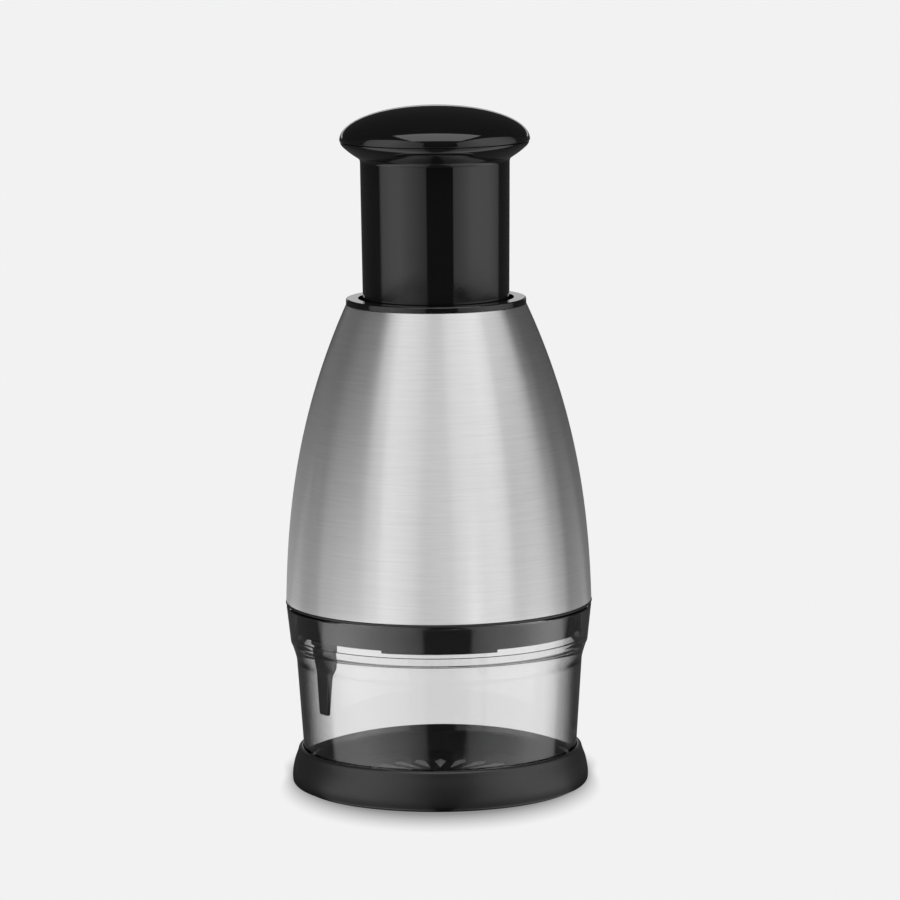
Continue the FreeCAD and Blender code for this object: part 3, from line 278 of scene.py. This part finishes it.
finish_of = {
    "base_cap": satin_black, "foot_ring": rubber_black, "chopping_plate": polished_black,
    "cup_seal": rubber_black, "cup": clear, "steel_shell": brushed, "trim_ring": satin_black,
    "inner_housing": polished_black, "guide_collar": polished_black, "guide_bush": acetal,
    "collar_screws": plated, "bearing_plate": satin_black, "plate_screws": plated,
    "index_nut": acetal, "ratchet_ring": spring_wire, "plunger_tube": polished_black,
    "knob_cap": polished_black, "knob_screw": plated, "push_rod": satin_black,
    "spring_seat": plated, "stop_ring": rubber_black, "return_spring": spring_wire,
    "blade_shaft": plated, "thrust_washer": plated, "pivot_washer": plated, "pivot_screw": plated,
    "blade_hub": satin_black, "hub_pin": plated, "zigzag_blade": ground_steel,
    "wiper_pins": plated, "wiper_plate": satin_black, "wiper_springs": spring_wire}
for node, material in finish_of.items():
    for number in range(len(nodes[node].data.materials)):
        nodes[node].data.materials[number] = material


# ---------------------------------------------------------------- modelling helpers
ROUND_STEPS = 192      # sides of a turned piece
MERGE = 0.001          # millimetres


def alone(piece):
    """Make one piece the only selected one."""
    bpy.ops.object.select_all(action="DESELECT")
    piece.select_set(True)
    bpy.context.view_layer.objects.active = piece


def take(piece, test):
    """In edit mode, select the corners whose place in millimetres passes a test."""
    bpy.ops.mesh.select_all(action="DESELECT")
    bpy.ops.object.mode_set(mode="OBJECT")
    for corner in piece.data.vertices:
        corner.select = test(*(part / MM for part in corner.co))
    bpy.ops.object.mode_set(mode="EDIT")


def clean(piece, angle=30):
    """Merge what lies in one place, turn the faces outwards and shade the piece smooth."""
    bpy.ops.mesh.select_all(action="SELECT")
    bpy.ops.mesh.remove_doubles(threshold=MERGE * MM)
    bpy.ops.mesh.normals_make_consistent(inside=False)
    bpy.ops.object.mode_set(mode="OBJECT")
    bpy.ops.object.shade_smooth_by_angle(angle=math.radians(angle))
    return piece


def profile(name, corners):
    """Draw an outline at y = 0 through (radius, height, rounding) corners. Stays in edit mode."""
    bpy.ops.object.select_all(action="DESELECT")
    bpy.ops.mesh.primitive_plane_add(size=MM, location=(0, 0, 0))
    piece = bpy.context.object
    piece.name = name
    bpy.ops.object.mode_set(mode="EDIT")
    bpy.ops.mesh.select_mode(type="VERT")
    bpy.ops.mesh.select_all(action="SELECT")
    bpy.ops.mesh.merge(type="CENTER")
    radius, height = 0, 0
    for number, corner in enumerate(corners):
        move = ((corner[0] - radius) * MM, 0, (corner[1] - height) * MM)
        if number:
            bpy.ops.mesh.extrude_region_move(TRANSFORM_OT_translate={"value": move})
        else:
            bpy.ops.transform.translate(value=move)
        radius, height = corner[:2]
    bpy.ops.mesh.select_all(action="SELECT")
    bpy.ops.mesh.remove_doubles(threshold=MERGE * MM)
    for corner in corners:
        if len(corner) > 2:
            take(piece, lambda x, y, z: abs(x - corner[0]) + abs(z - corner[1]) < 2 * MERGE)
            bpy.ops.mesh.bevel(offset=corner[2] * MM, offset_type="OFFSET", segments=5,
                               affect="VERTICES")
    return piece


def turned(name, corners):
    """Turn an outline round the middle axis. One that touches the axis is left open there."""
    piece = profile(name, corners)
    bpy.ops.mesh.select_all(action="SELECT")
    bpy.ops.mesh.spin(steps=ROUND_STEPS, angle=2 * math.pi, center=(0, 0, 0), axis=(0, 0, 1))
    return clean(piece)


def closed(*corners):
    """An outline that comes back to its start."""
    return [*corners, corners[0][:2]]


def flow(points, leaving, arriving, steps):
    """A smooth line through some (radius, height) points, with its slopes at both ends."""
    slopes = [leaving]
    for before, after in zip(points, points[2:]):
        slopes.append(((after[0] - before[0]) / 2, (after[1] - before[1]) / 2))
    slopes.append(arriving)
    line = [points[0]]
    for number in range(len(points) - 1):
        a, b = points[number], points[number + 1]
        u, v = slopes[number], slopes[number + 1]
        for step in range(1, steps + 1):
            t = step / steps
            shares = (2 * t ** 3 - 3 * t ** 2 + 1, t ** 3 - 2 * t ** 2 + t,
                      3 * t ** 2 - 2 * t ** 3, t ** 3 - t ** 2)
            line.append(tuple(sum(share * part[k] for share, part in zip(shares, (a, u, b, v)))
                              for k in range(2)))
    return line


def apply_all(piece):
    """Apply the piece's modifiers in order."""
    alone(piece)
    for modifier in list(piece.modifiers):
        bpy.ops.object.modifier_apply(modifier=modifier.name)


def unite(piece, other):
    """Make the piece and another solid one solid, and drop that other one."""
    modifier = piece.modifiers.new("union", "BOOLEAN")
    modifier.operation = "UNION"
    modifier.solver = "EXACT"
    modifier.object = other
    apply_all(piece)
    bpy.data.objects.remove(other)


def join(piece, others):
    """Make other pieces part of this piece's mesh."""
    alone(piece)
    for other in others:
        other.select_set(True)
    bpy.ops.object.join()


def settle(piece):
    """Put the piece's place into its mesh."""
    alone(piece)
    bpy.ops.object.transform_apply(location=True, rotation=True, scale=True)


def finish_piece(piece, body, slot, material, *stands_for):
    """Give a piece its finish and its body, and hide the node, if any, that it stands for."""
    piece.data.materials.clear()
    piece.data.materials.append(material)
    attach(piece, body)
    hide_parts(*stands_for)
    return piece


# ---------------------------------------------------------------- base
BASE_RIM_MIDDLE = (45.32, 12.1)
BASE_RIM_ROUND = 1.3
FOOT_TOP = 2.0


def rim_point(degrees):
    """A point on the rounding of the base's rim."""
    turn = math.radians(degrees)
    return (BASE_RIM_MIDDLE[0] + BASE_RIM_ROUND * math.cos(turn),
            BASE_RIM_MIDDLE[1] + BASE_RIM_ROUND * math.sin(turn))


base_side = flow([(48.62, 3.55), (47.99, 8.09), rim_point(22)], (0, 4.5), (-0.8, 4.2), 6)
base = turned("base_cap_moulded", [
    # under the plate, round the foot ring's groove and up the outside
    (0, 3.0), (39.12, 3.0, 0.3), (39.12, 0.9, 0.3), (41.02, 0.9, 0.15), (41.02, FOOT_TOP),
    (45.82, FOOT_TOP), (45.82, 0.9), (48.5, 0.9, 1.5), *base_side,
    *[rim_point(degrees) for degrees in range(31, 91, 9)],
    # down into the well that holds the cup, over the collar and onto the plate's seat
    (45.12, 13.4, 0.1), (45.12, 10.6, 0.12), (44.9, 10.3, 0.12), (44.9, 3.9), (41.97, 3.9),
    (41.97, 12.2, 0.3), (40.57, 12.2, 0.3), (40.57, PLATE_LOW), (0, PLATE_LOW)])
finish_piece(base, "base", "satin_black", base_black, "base_cap")

FOOT_GROOVES = (42.2, 43.3, 44.4)
GROOVE_DEPTH = 0.3
foot_face = []
for groove in FOOT_GROOVES:
    foot_face += [(groove - 0.25, 0, 0.06), (groove - 0.15, GROOVE_DEPTH),
                  (groove + 0.15, GROOVE_DEPTH), (groove + 0.25, 0, 0.06)]
foot = turned("foot_ring_moulded", closed(
    (41.12, FOOT_TOP), (41.12, 0, 0.4), *foot_face, (45.72, 0, 0.4), (45.72, FOOT_TOP)))
finish_piece(foot, "base", "black_rubber", rubber_black, "foot_ring")

STAR_LEAVES = 22
STAR_HALF_WIDTH = 3.2
LEAF_ROOT = 0.3        # how far a leaf reaches into the plate
LEAF_SOFT = 0.12       # how far its edges are softened
CONE_HALF = 0.5        # half the height of the cone that a leaf is drawn from


def star_leaf(number):
    """One leaf of the star: a four-sided point drawn out into a low ridge, its edges softened."""
    bpy.ops.object.select_all(action="DESELECT")
    bpy.ops.mesh.primitive_cone_add(vertices=4, radius1=MM, depth=MM, location=(0, 0, 0))
    leaf = bpy.context.object
    bpy.ops.object.mode_set(mode="EDIT")
    bpy.ops.mesh.select_mode(type="VERT")
    places = {(0, 1): (STAR_WIDE_AT, STAR_HALF_WIDTH), (0, -1): (STAR_WIDE_AT, -STAR_HALF_WIDTH),
              (1, 0): (STAR_OUT, 0), (-1, 0): (STAR_IN, 0)}
    for (side, across), (out, width) in places.items():
        take(leaf, lambda x, y, z: z < 0 and abs(x - side) + abs(y - across) < 0.1)
        bpy.ops.transform.translate(value=((out - side) * MM, (width - across) * MM,
                                           (PLATE_TOP - LEAF_ROOT + CONE_HALF) * MM))
    take(leaf, lambda x, y, z: abs(x) + abs(y) < 0.1)
    bpy.ops.transform.translate(value=(STAR_WIDE_AT * MM, 0, (STAR_TOP - CONE_HALF) * MM))
    bpy.ops.mesh.select_all(action="SELECT")
    bpy.ops.mesh.bevel(offset=LEAF_SOFT * MM, segments=2, affect="EDGES")
    bpy.ops.mesh.select_all(action="SELECT")
    bpy.ops.mesh.normals_make_consistent(inside=False)
    bpy.ops.object.mode_set(mode="OBJECT")
    leaf.rotation_euler.z = math.radians(-90 + 360 * number / STAR_LEAVES)
    settle(leaf)
    return leaf


plate = turned("chopping_plate_moulded", [
    (0, PLATE_LOW), (40.47, PLATE_LOW, 0.15), (40.47, STAR_TOP, 0.2), (38.87, STAR_TOP, 0.25),
    (38.87, PLATE_TOP, 0.2), (1.15, PLATE_TOP, 0.1), (0.9, STAR_TOP, 0.2), (0, STAR_TOP)])
join(plate, [star_leaf(number) for number in range(STAR_LEAVES)])
bpy.ops.object.shade_smooth_by_angle(angle=math.radians(25))
finish_piece(plate, "base", "gloss_black", plate_black, "chopping_plate")

# ---------------------------------------------------------------- cup
shoulder = flow([(46.75, 42.0), (47.2, 44.2), (48.15, 47.2), (48.7, 48.6)],
                (0.15, 2.2), (0.1, 1.6), 4)
shoulder_inside = flow([(46.0, 49.0), (45.5, 44.9), (44.67, 40.8)], (0, -3.4), (-0.27, -4.0), 6)
cup = turned("cup_clear", closed(
    (42.27, 5.2, 0.25), (44.27, 5.2, 0.25), *shoulder, (49.95, 60.05, 0.25), (49.35, 60.7, 0.2),
    (47.25, 60.7, 0.4), (47.25, 50.4, 0.2), (46.0, 50.4, 0.3), *shoulder_inside))
RIB_RADIUS, RIB_LEVEL = 46.8, 55.25
RIB_SIZE = (2.0, 6.5, 2.5)
RIB_SOFT = 0.3


def lock_rib(angle):
    """A short level rib inside the cup's rim, which the housing's slot turns onto."""
    bpy.ops.object.select_all(action="DESELECT")
    bpy.ops.mesh.primitive_cube_add(size=MM, location=(RIB_RADIUS * MM, 0, RIB_LEVEL * MM))
    rib = bpy.context.object
    bpy.ops.object.mode_set(mode="EDIT")
    bpy.ops.transform.resize(value=RIB_SIZE)
    bpy.ops.mesh.bevel(offset=RIB_SOFT * MM, segments=3, affect="EDGES")
    bpy.ops.object.mode_set(mode="OBJECT")
    settle(rib)
    rib.rotation_euler.z = math.radians(angle)
    settle(rib)
    return rib


for angle in (0, 180):
    unite(cup, lock_rib(angle))
alone(cup)
bpy.ops.object.shade_smooth_by_angle(angle=math.radians(30))
finish_piece(cup, "cup", "clear", clear, "cup")

# ---------------------------------------------------------------- housing
SHELL_LOW, SHELL_HIGH = 61.65, 159.0
SHELL_LOW_R, SHELL_HIGH_R = 50.0, 29.32
SHELL_THICK = 0.7
BELL_STRAIGHT = 0.12   # how much of the narrowing is a straight taper
BELL_POWER = 2.3       # how late the rest of it comes


def bell(inset, steps):
    """The steel shell's curve from its lower edge up, moved in by an inset."""
    line = []
    for step in range(steps + 1):
        share = step / steps
        drop = BELL_STRAIGHT * share + (1 - BELL_STRAIGHT) * share ** BELL_POWER
        line.append((SHELL_LOW_R - (SHELL_LOW_R - SHELL_HIGH_R) * drop - inset,
                     SHELL_LOW + (SHELL_HIGH - SHELL_LOW) * share))
    return line


outside, inside = bell(0, 30), bell(SHELL_THICK, 15)
outside[0] += (0.3,)
outside[-1] += (0.2,)
shell = turned("steel_shell_drawn", closed(*outside, *inside[::-1]))
finish_piece(shell, "housing", "brushed_steel", brushed, "steel_shell")

LEG_EDGES = (          # height of a level of the leg, and the directions of its two edges there
    (60, 208.2, 222.6), (47.3, 208.2, 222.6), (44.6, 208.2, 220.9), (42.4, 208.3, 218.4),
    (37.6, 208.3, 217.0), (27.8, 208.4, 214.2))
LEG_TURN = 12.0        # its width before it is given its edges, in degrees
LEG_STEPS = 12
LEG_SOFT = 0.4


def leg_edge(share, height):
    """Direction of a point of the leg, in degrees, from its share of the width and its height."""
    for (high, left, right), (low, left_below, right_below) in zip(LEG_EDGES, LEG_EDGES[1:]):
        if height >= low:
            down = min(max((high - height) / (high - low), 0), 1)
            return left + (left_below - left) * down + share * (
                right - left + (right_below - right - left_below + left) * down)
    return LEG_EDGES[-1][1] + share * (LEG_EDGES[-1][2] - LEG_EDGES[-1][1])


leg = profile("guide_leg_moulded", closed(
    (43.35, 27.8), (43.9, 36.0), (44.2, 40.8), (44.5, 42.4), (44.75, 44.6), (45.0, 47.3),
    (45.4, 50.8), (46.3, 51.0), (46.3, 57.5), (43.9, 57.5), (43.9, 50.0), (43.6, 47.3),
    (43.4, 44.6), (43.1, 42.4), (42.8, 40.8), (42.5, 36.0), (42.0, 27.8)))
bpy.ops.mesh.select_all(action="SELECT")
bpy.ops.mesh.spin(steps=LEG_STEPS, angle=math.radians(LEG_TURN), center=(0, 0, 0),
                  axis=(0, 0, -1))
bpy.ops.mesh.select_all(action="SELECT")
bpy.ops.mesh.fill_holes(sides=0)
clean(leg)
for corner in leg.data.vertices:
    radius, height = corner.co.xy.length, corner.co.z / MM
    share = math.degrees(math.atan2(corner.co.y, corner.co.x)) / LEG_TURN
    turn = math.radians(leg_edge(share, height))
    corner.co.x, corner.co.y = radius * math.cos(turn), radius * math.sin(turn)
rounding = leg.modifiers.new("rounding", "BEVEL")
rounding.width = LEG_SOFT * MM
rounding.segments = 4
rounding.limit_method = "ANGLE"
rounding.angle_limit = math.radians(50)
apply_all(leg)
bpy.ops.object.shade_smooth_by_angle(angle=math.radians(30))
finish_piece(leg, "housing", "satin_black", satin_black)

trim = turned("trim_ring_moulded", closed(
    (46.95, 60.9, 0.1), (50.15, 60.9, 0.25), (50.15, 61.55, 0.25), (46.95, 61.55, 0.1)))
finish_piece(trim, "housing", "satin_black", satin_black, "trim_ring")

# ---------------------------------------------------------------- plunger
KNOB_WIDE = 212.4      # level of the knob's widest place
DOME_SHARE = 0.96      # power of the dome's roundness


def dome(radius, height, steps):
    """The knob's dome from its top down to its widest level."""
    line = []
    for step in range(steps + 1):
        turn = math.pi / 2 * step / steps
        line.append((radius * math.sin(turn) ** DOME_SHARE, KNOB_WIDE + height * math.cos(turn)))
    return line


cap = turned("knob_cap_moulded", [
    *dome(30.9, 11.0, 26), (30.87, 212.25), (30.75, 212.1, 0.1), (27.4, 212.1, 0.1),
    (27.4, 209.6, 0.2), (25.8, 209.6, 0.2), *dome(25.8, 9.0, 16)[::-1]])
finish_piece(cap, "plunger", "gloss_black", polished_black, "knob_cap")

neck = flow([(24.28, 205.2), (24.4, 205.9), (24.85, 206.55)], (0.01, 0.8), (0.75, 0.6), 4)
flare = flow([(24.85, 206.55), (27.5, 208.35), (29.9, 210.4), (30.65, 211.85)],
             (2.6, 1.7), (0.3, 1.7), 6)
tube = turned("plunger_tube_moulded", closed(
    (21.68, 130.9, 0.2), (26.6, 130.9, 0.4), (26.6, 133.2, 0.3), (23.7, 133.2, 0.2),
    (23.84, 161.0), (24.18, 194.0), (24.27, 204.5), *neck, *flare[1:-1],
    (30.65, 211.85, 0.1), (27.5, 211.85, 0.1), (27.5, 209.35), (22.48, 206.5), (22.48, 203.0),
    (2.18, 203.0, 0.3), (2.18, 200.0), (21.68, 200.0, 0.4)))
finish_piece(tube, "plunger", "gloss_black", polished_black, "plunger_tube")


def spring(name, radius, wire, low, high, turns, sides=12, steps=40):
    """A coil spring whose end turns lie closed, with its wire between two levels."""
    bpy.ops.object.select_all(action="DESELECT")
    bpy.ops.mesh.primitive_circle_add(
        vertices=sides, radius=wire * MM, location=(radius * MM, 0, (low + wire) * MM),
        rotation=(math.pi / 2, 0, 0))
    piece = bpy.context.object
    piece.name = name
    settle(piece)
    rise = high - low - 2 * wire
    winding = piece.modifiers.new("winding", "SCREW")
    winding.angle = 2 * math.pi
    winding.screw_offset = rise / turns * MM
    winding.iterations = turns
    winding.steps = winding.render_steps = steps
    apply_all(piece)
    closed_rise = 2 * wire
    open_rise = (rise - 2 * closed_rise) / (turns - 2)
    for number, corner in enumerate(piece.data.vertices):
        turn = number // sides / steps
        height = (closed_rise * min(turn, 1) + open_rise * min(max(turn - 1, 0), turns - 2)
                  + closed_rise * max(turn - turns + 1, 0))
        corner.co.z += (height - rise * turn / turns) * MM
    bpy.ops.object.mode_set(mode="EDIT")
    bpy.ops.mesh.select_all(action="SELECT")
    bpy.ops.mesh.fill_holes(sides=sides)
    return clean(piece, 40)


SPRING_LOW, SPRING_HIGH = 78.7, 198.4
coil = spring("return_spring_wound", 14.3, 0.75, SPRING_LOW, SPRING_HIGH, 12)
finish_piece(coil, "plunger", "spring_steel", spring_wire, "return_spring")
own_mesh(coil)

WIPER_SPRING_LOW, WIPER_SPRING_HIGH = 54.6, 65.5
WIPER_SPRING_PLACE = (7, 20)   # across and back, and the same on the other side
light_springs = []
for side in (1, -1):
    one = spring("wiper_springs_wound", 2.9, 0.3, WIPER_SPRING_LOW, WIPER_SPRING_HIGH, 5, 8, 24)
    one.location = (side * WIPER_SPRING_PLACE[0] * MM, side * WIPER_SPRING_PLACE[1] * MM, 0)
    settle(one)
    light_springs.append(one)
join(light_springs[0], light_springs[1:])
finish_piece(light_springs[0], "wiper", "spring_steel", spring_wire, "wiper_springs")
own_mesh(light_springs[0])


# ---------------------------------------------------------------- floor and light
PALE = 0.888           # the surroundings as the camera sees them
DIM = 0.03             # the surroundings as mirror images see them, behind the lamps
FLOOR_RADIUS = 12
FLOOR_DROP = 0.00005   # keeps the table's face off the foot's face
CONTACT = (0.0482, 0.064)       # half widths of the contact shadow's dark ring, across and deep
CONTACT_MIDDLE = 0.016          # how far the ring's middle lies behind the axis
CONTACT_REACH = 0.028           # how far the shadow reaches out from the ring at the sides
CONTACT_FADE = 1.3              # how fast it fades
CONTACT_DARK = 0.68             # how dark it is at the ring
CONTACT_BACK = (0.015, 0.06)    # it fades away between these distances behind the ring's middle
BACK_SQUEEZE = 0.42             # how much shorter it is there
SEEN_SHARE = 0.144              # how much of the table's depth the camera sees
GLOW_MIDDLE = 0.04              # how far in front of the axis the glow's middle lies
GLOW_NEAR, GLOW_FAR = (0.055, 0.075), (1.24, 1.26)  # distances over which it starts and ends
UNDER_OBJECT = 0.3              # how much of it is left close to the object
TABLE_GLOW = (         # degrees right of the front, and the table's glow for its mirror images
    (-180, 0.05), (-130, 0.05), (-106, 0.05), (-103, 0.9), (-87, 1.3), (-75, 1.4), (-63, 1.2),
    (-50, 0.95), (-38, 0.82), (-20, 0.5), (-15, 0.4), (-12, 0.04), (26, 0.04), (29, 0.45),
    (36, 0.6), (46, 0.75), (57, 0.85), (68, 0.95), (80, 1.25), (93, 1.4), (107, 1.0), (112, 0.7),
    (115, 0.05), (180, 0.05))
GLOW_TOP = 1.4         # the highest level in the two lists of glow
WHITE = (1, 1, 1, 1)
STAGE_SIDES = 96       # sides of the floor and of the round screen


def straight(finish):
    """1 for what is seen directly or through the clear cup, 0 for mirror images and lighting."""
    direct = finish.node("ShaderNodeLightPath", output="Is Camera Ray")
    through = finish.node("ShaderNodeLightPath", output="Is Transmission Ray")
    mirrored = finish.node("ShaderNodeLightPath", output="Glossy Depth")
    return direct.maths("MAXIMUM", direct, through * direct.maths("LESS_THAN", mirrored, 0.5))


def around(finish, levels, in_front=0.0):
    """A level that changes with the direction from the axis, or from a point in front of it."""
    across = finish.along("X")
    turn = across.maths("ARCTAN2", across, -in_front - finish.along("Y"))
    stops = [(0.5 + degrees / 360, level / GLOW_TOP) for degrees, level in levels]
    share = finish.node("ShaderNodeValToRGB", {"stops": stops}, {0: turn / (2 * math.pi) + 0.5})
    return share * GLOW_TOP


def pale_floor():
    """Pale table with a narrow contact shadow, whose mirror images glow on two sides."""
    finish = Finish(bpy.data.materials.new("pale_floor"))
    seen = straight(finish)
    behind = finish.along("Y") - CONTACT_MIDDLE
    moved = finish.node("ShaderNodeCombineXYZ", {}, {
        "X": finish.along("X"),
        "Y": behind + behind.maths("MAXIMUM", behind, 0) * BACK_SQUEEZE})

    def long(scale):
        return finish.length(finish.node("ShaderNodeVectorMath", {"operation": "MULTIPLY"},
                                         {0: moved, 1: scale}))

    across, back = CONTACT
    ring = long((1 / across, 1 / back, 0))
    away = (ring - 1) * ring / long((SEEN_SHARE / across ** 2, 1 / back ** 2, 0))
    shadow = (finish.spread(away, 1, 0, 0, CONTACT_REACH) ** CONTACT_FADE
              * finish.spread(behind, CONTACT_DARK, 0, *CONTACT_BACK))
    picture = finish.node("ShaderNodeEmission", {}, {"Color": (1 - shadow) * PALE})
    distance = finish.length(finish.place())
    reach = (finish.spread(distance, UNDER_OBJECT, 1, *GLOW_NEAR)
             * finish.spread(distance, 1, 0, *GLOW_FAR))
    glow = finish.node("ShaderNodeEmission", {}, {
        "Color": around(finish, TABLE_GLOW, GLOW_MIDDLE) * reach})
    table = finish.node("ShaderNodeBsdfDiffuse", {}, {"Color": (0.05, 0.05, 0.05, 1)})
    lighting = finish.node("ShaderNodeAddShader", {}, {0: table, 1: glow})
    return finish.close(finish.node("ShaderNodeMixShader", {}, {0: seen, 1: lighting, 2: picture}))


bpy.ops.object.select_all(action="DESELECT")
bpy.ops.mesh.primitive_circle_add(vertices=STAGE_SIDES, radius=FLOOR_RADIUS, fill_type="NGON",
                                  location=(0, 0, -FLOOR_DROP))
floor = bpy.context.object
floor.name = "floor"
floor.data.materials.append(pale_floor())

world = bpy.data.worlds.new("studio")
bpy.context.scene.world = world
air = Finish(world)
dim = air.node("ShaderNodeBackground", {}, {"Color": WHITE, "Strength": DIM})
pale = air.node("ShaderNodeBackground", {}, {"Color": WHITE, "Strength": PALE})
air.close(air.node("ShaderNodeMixShader", {}, {0: straight(air), 1: dim, 2: pale}),
          "ShaderNodeOutputWorld")

LAMP_DISTANCE = 1.2
WIDEST_LAMP = 36       # how many degrees of a wall one lamp covers at most
UP = Vector((0, 0, 1))


def receivers(name, left_out):
    """What a lamp lights: the steel shell only, or all but the steel shell."""
    group = bpy.data.collections.new(name)
    group.objects.link(shell)
    group.collection_objects[0].light_linking.link_state = "EXCLUDE" if left_out else "INCLUDE"
    return group


STEEL = receivers("lit_steel", False)
OTHERS = receivers("lit_others", True)


def softbox(name, centre, away, width, height, level, lights, turn=0):
    """A soft lamp whose back faces one way and whose glow is that of a white card of a level."""
    lamp = bpy.data.lights.new(name, "AREA")
    lamp.shape = "RECTANGLE"
    lamp.size = width
    lamp.size_y = height
    lamp.energy = math.pi * width * height * level
    piece = bpy.data.objects.new(name, lamp)
    piece.matrix_world = (Matrix.Translation(centre) @ Matrix.Rotation(math.radians(turn), 4, "Z")
                          @ away.to_track_quat("Z", "Y").to_matrix().to_4x4())
    piece.visible_camera = False
    piece.light_linking.receiver_collection = lights
    bpy.context.scene.collection.objects.link(piece)


def wall(name, start, end, low, high, level, lights):
    """Upright soft lamps round the object between two directions, in degrees right of the front."""
    count = math.ceil((end - start) / WIDEST_LAMP)
    for number in range(count):
        middle = math.radians(start + (end - start) * (number + 0.5) / count)
        half = math.radians((end - start) / count / 2)
        out = Vector((math.sin(middle), -math.cos(middle), 0))
        softbox(f"{name}_{number}",
                out * LAMP_DISTANCE * math.cos(half) + Vector((0, 0, (low + high) / 2)), out,
                2 * LAMP_DISTANCE * math.sin(half), high - low, level, lights)


# a pale card far behind, which shows only in level faces
softbox("back_card", Vector((0, 1.25, 0.285)), Vector((0, 1, 0)), 1.3, 0.13, 0.75, OTHERS)

# the steel's own lamps: walls at three heights, each with its levels going round to the right
STEEL_WALLS = (        # from, to, left and right ends of the bright part, levels
    (0.005, 0.45, -45, 89, (0.9, 0.86, 0.94, 0.76, 0.1, 0.07, 0.07, 0.07)),
    (0.45, 0.95, -61, 99, (1.0, 0.87, 1.03, 0.92, 0.82, 0.08, 0.4, 0.1)),
    (0.95, 1.5, -76, 106, (1.02, 0.84, 1.06, 1.3, 1.48, 0.09, 0.6, 0.12)))
for height, (low, high, left, right, levels) in enumerate(STEEL_WALLS):
    turns = (left, -11, 9, 46, 56, right, 186, 210, 360 + left)
    for number, (start, end, level) in enumerate(zip(turns, turns[1:], levels)):
        wall(f"steel_{height}_{number}", start, end, low, high, level, STEEL)

# a roof over it, and cards that lie on the table behind it and round it
ROOF_HEIGHT, CARD_HEIGHT = 1.5, 0.0005
for name, middle, width, level in (
        ("steel_roof_left", -0.61, 0.98, 1.02), ("steel_roof_middle", 0, 0.24, 0.84),
        ("steel_roof_right", 0.66, 1.08, 1.15)):
    softbox(name, Vector((middle, -0.4, ROOF_HEIGHT)), UP, width, 1.4, level, STEEL)
for name, middle, level in (("table_back_left", -0.6, 0.55), ("table_back_right", 0.6, 0.25)):
    softbox(name, Vector((middle, 0.65, CARD_HEIGHT)), -UP, 1.0, 1.0, level, STEEL)
TABLE_RINGS = ((0.07, 0.19), (0.19, 0.5), (0.5, 1.15))     # distances from the axis
table_cards = [(start, end, near, far, level) for start, end, level in (
    (-52, -12, 0.32), (-12, 9, 0.74), (9, 27, 0.86), (27, 52, 0.22)) for near, far in TABLE_RINGS]
table_cards += [
    (-112, -86, *TABLE_RINGS[0], 0.48), (-134, -97, *TABLE_RINGS[1], 0.9),
    (97, 130, *TABLE_RINGS[0], 0.45), (108, 142, *TABLE_RINGS[1], 0.45)]
for number, (start, end, near, far, level) in enumerate(table_cards):
    middle, half = math.radians((start + end) / 2), math.radians((end - start) / 2)
    reach = (near + far) / 2
    softbox(f"table_{number}",
            Vector((reach * math.sin(middle), -reach * math.cos(middle), CARD_HEIGHT)), -UP,
            reach * 2 * math.tan(half), far - near, level, STEEL, math.degrees(middle))

# the lamps of the black and the clear pieces: a tall soft screen on each side, and a soft roof
SIDE_GLOW = (          # degrees right of the front, and the screen's glow there
    (-180, 0.05), (-96, 0.05), (-92, 0.75), (-87, 0.95), (-72, 1.25), (-57, 1.38), (-44, 1.12),
    (-31, 0.88), (-18, 0.62), (-14, 0.5), (-13, 0.01), (27, 0.01), (28, 0.72), (31, 0.8),
    (44, 1.06), (58, 1.39), (72, 1.35), (88, 1.16), (100, 0.85), (112, 0.5), (117, 0.05),
    (180, 0.05))
SCREEN_RADIUS, SCREEN_HEIGHT = 1.25, 1.5
SCREEN_MIDDLE = 0.76
SCREEN_DIP, SCREEN_CREST = -0.55, 1.2   # its top edge's lowest level and the rise to its crests
CREST_LEFT, CREST_RIGHT = -52, 70       # degrees right of the front
CREST_SPLIT, CREST_REACH = 7, 80        # where the crests part, and how far each one falls
screen_finish = Finish(bpy.data.materials.new("soft_screen"))
screen_finish.close(screen_finish.node("ShaderNodeEmission", {}, {
    "Color": around(screen_finish, SIDE_GLOW)}))
bpy.ops.object.select_all(action="DESELECT")
bpy.ops.mesh.primitive_cylinder_add(
    vertices=STAGE_SIDES, radius=SCREEN_RADIUS, depth=SCREEN_HEIGHT, end_fill_type="NOTHING",
    location=(0, 0, SCREEN_MIDDLE))
screen = bpy.context.object
screen.name = "soft_screen"
screen.data.materials.append(screen_finish.owner)
for corner in screen.data.vertices:
    if corner.co.z > 0:
        direction = math.degrees(math.atan2(corner.co.x, -corner.co.y))
        off = abs(direction - (CREST_RIGHT if direction > CREST_SPLIT else CREST_LEFT))
        fall = math.cos(math.radians(min(off, CREST_REACH))) ** 2
        corner.co.z = SCREEN_DIP + SCREEN_CREST * fall
screen.visible_camera = False
screen.visible_shadow = False
screen.light_linking.receiver_collection = OTHERS
softbox("roof", Vector((0.07, -0.6, 1.45)), UP, 1.6, 1.2, 2.2, OTHERS)

# ---------------------------------------------------------------- camera
FOCAL = 200.0
CAMERA_DISTANCE = 1.63278
CAMERA_LIFT = math.radians(8.287)
CAMERA_ROLL = math.radians(-0.531)
AIM = Vector((0, 0, 0.11079))
eyes = bpy.data.cameras.new("camera")
eyes.lens = FOCAL
eyes.sensor_width = 36
eyes.shift_x = 0.0139
eyes.clip_start = 0.05
eyes.clip_end = 60
camera = bpy.data.objects.new("camera", eyes)
bpy.context.scene.collection.objects.link(camera)
away = Vector((0, -math.cos(CAMERA_LIFT), math.sin(CAMERA_LIFT)))
turn = away.to_track_quat("Z", "Y").to_matrix() @ Matrix.Rotation(CAMERA_ROLL, 3, "Z")
camera.matrix_world = Matrix.Translation(AIM + away * CAMERA_DISTANCE) @ turn.to_4x4()
bpy.context.scene.camera = camera
bpy.context.scene.view_settings.view_transform = "Standard"
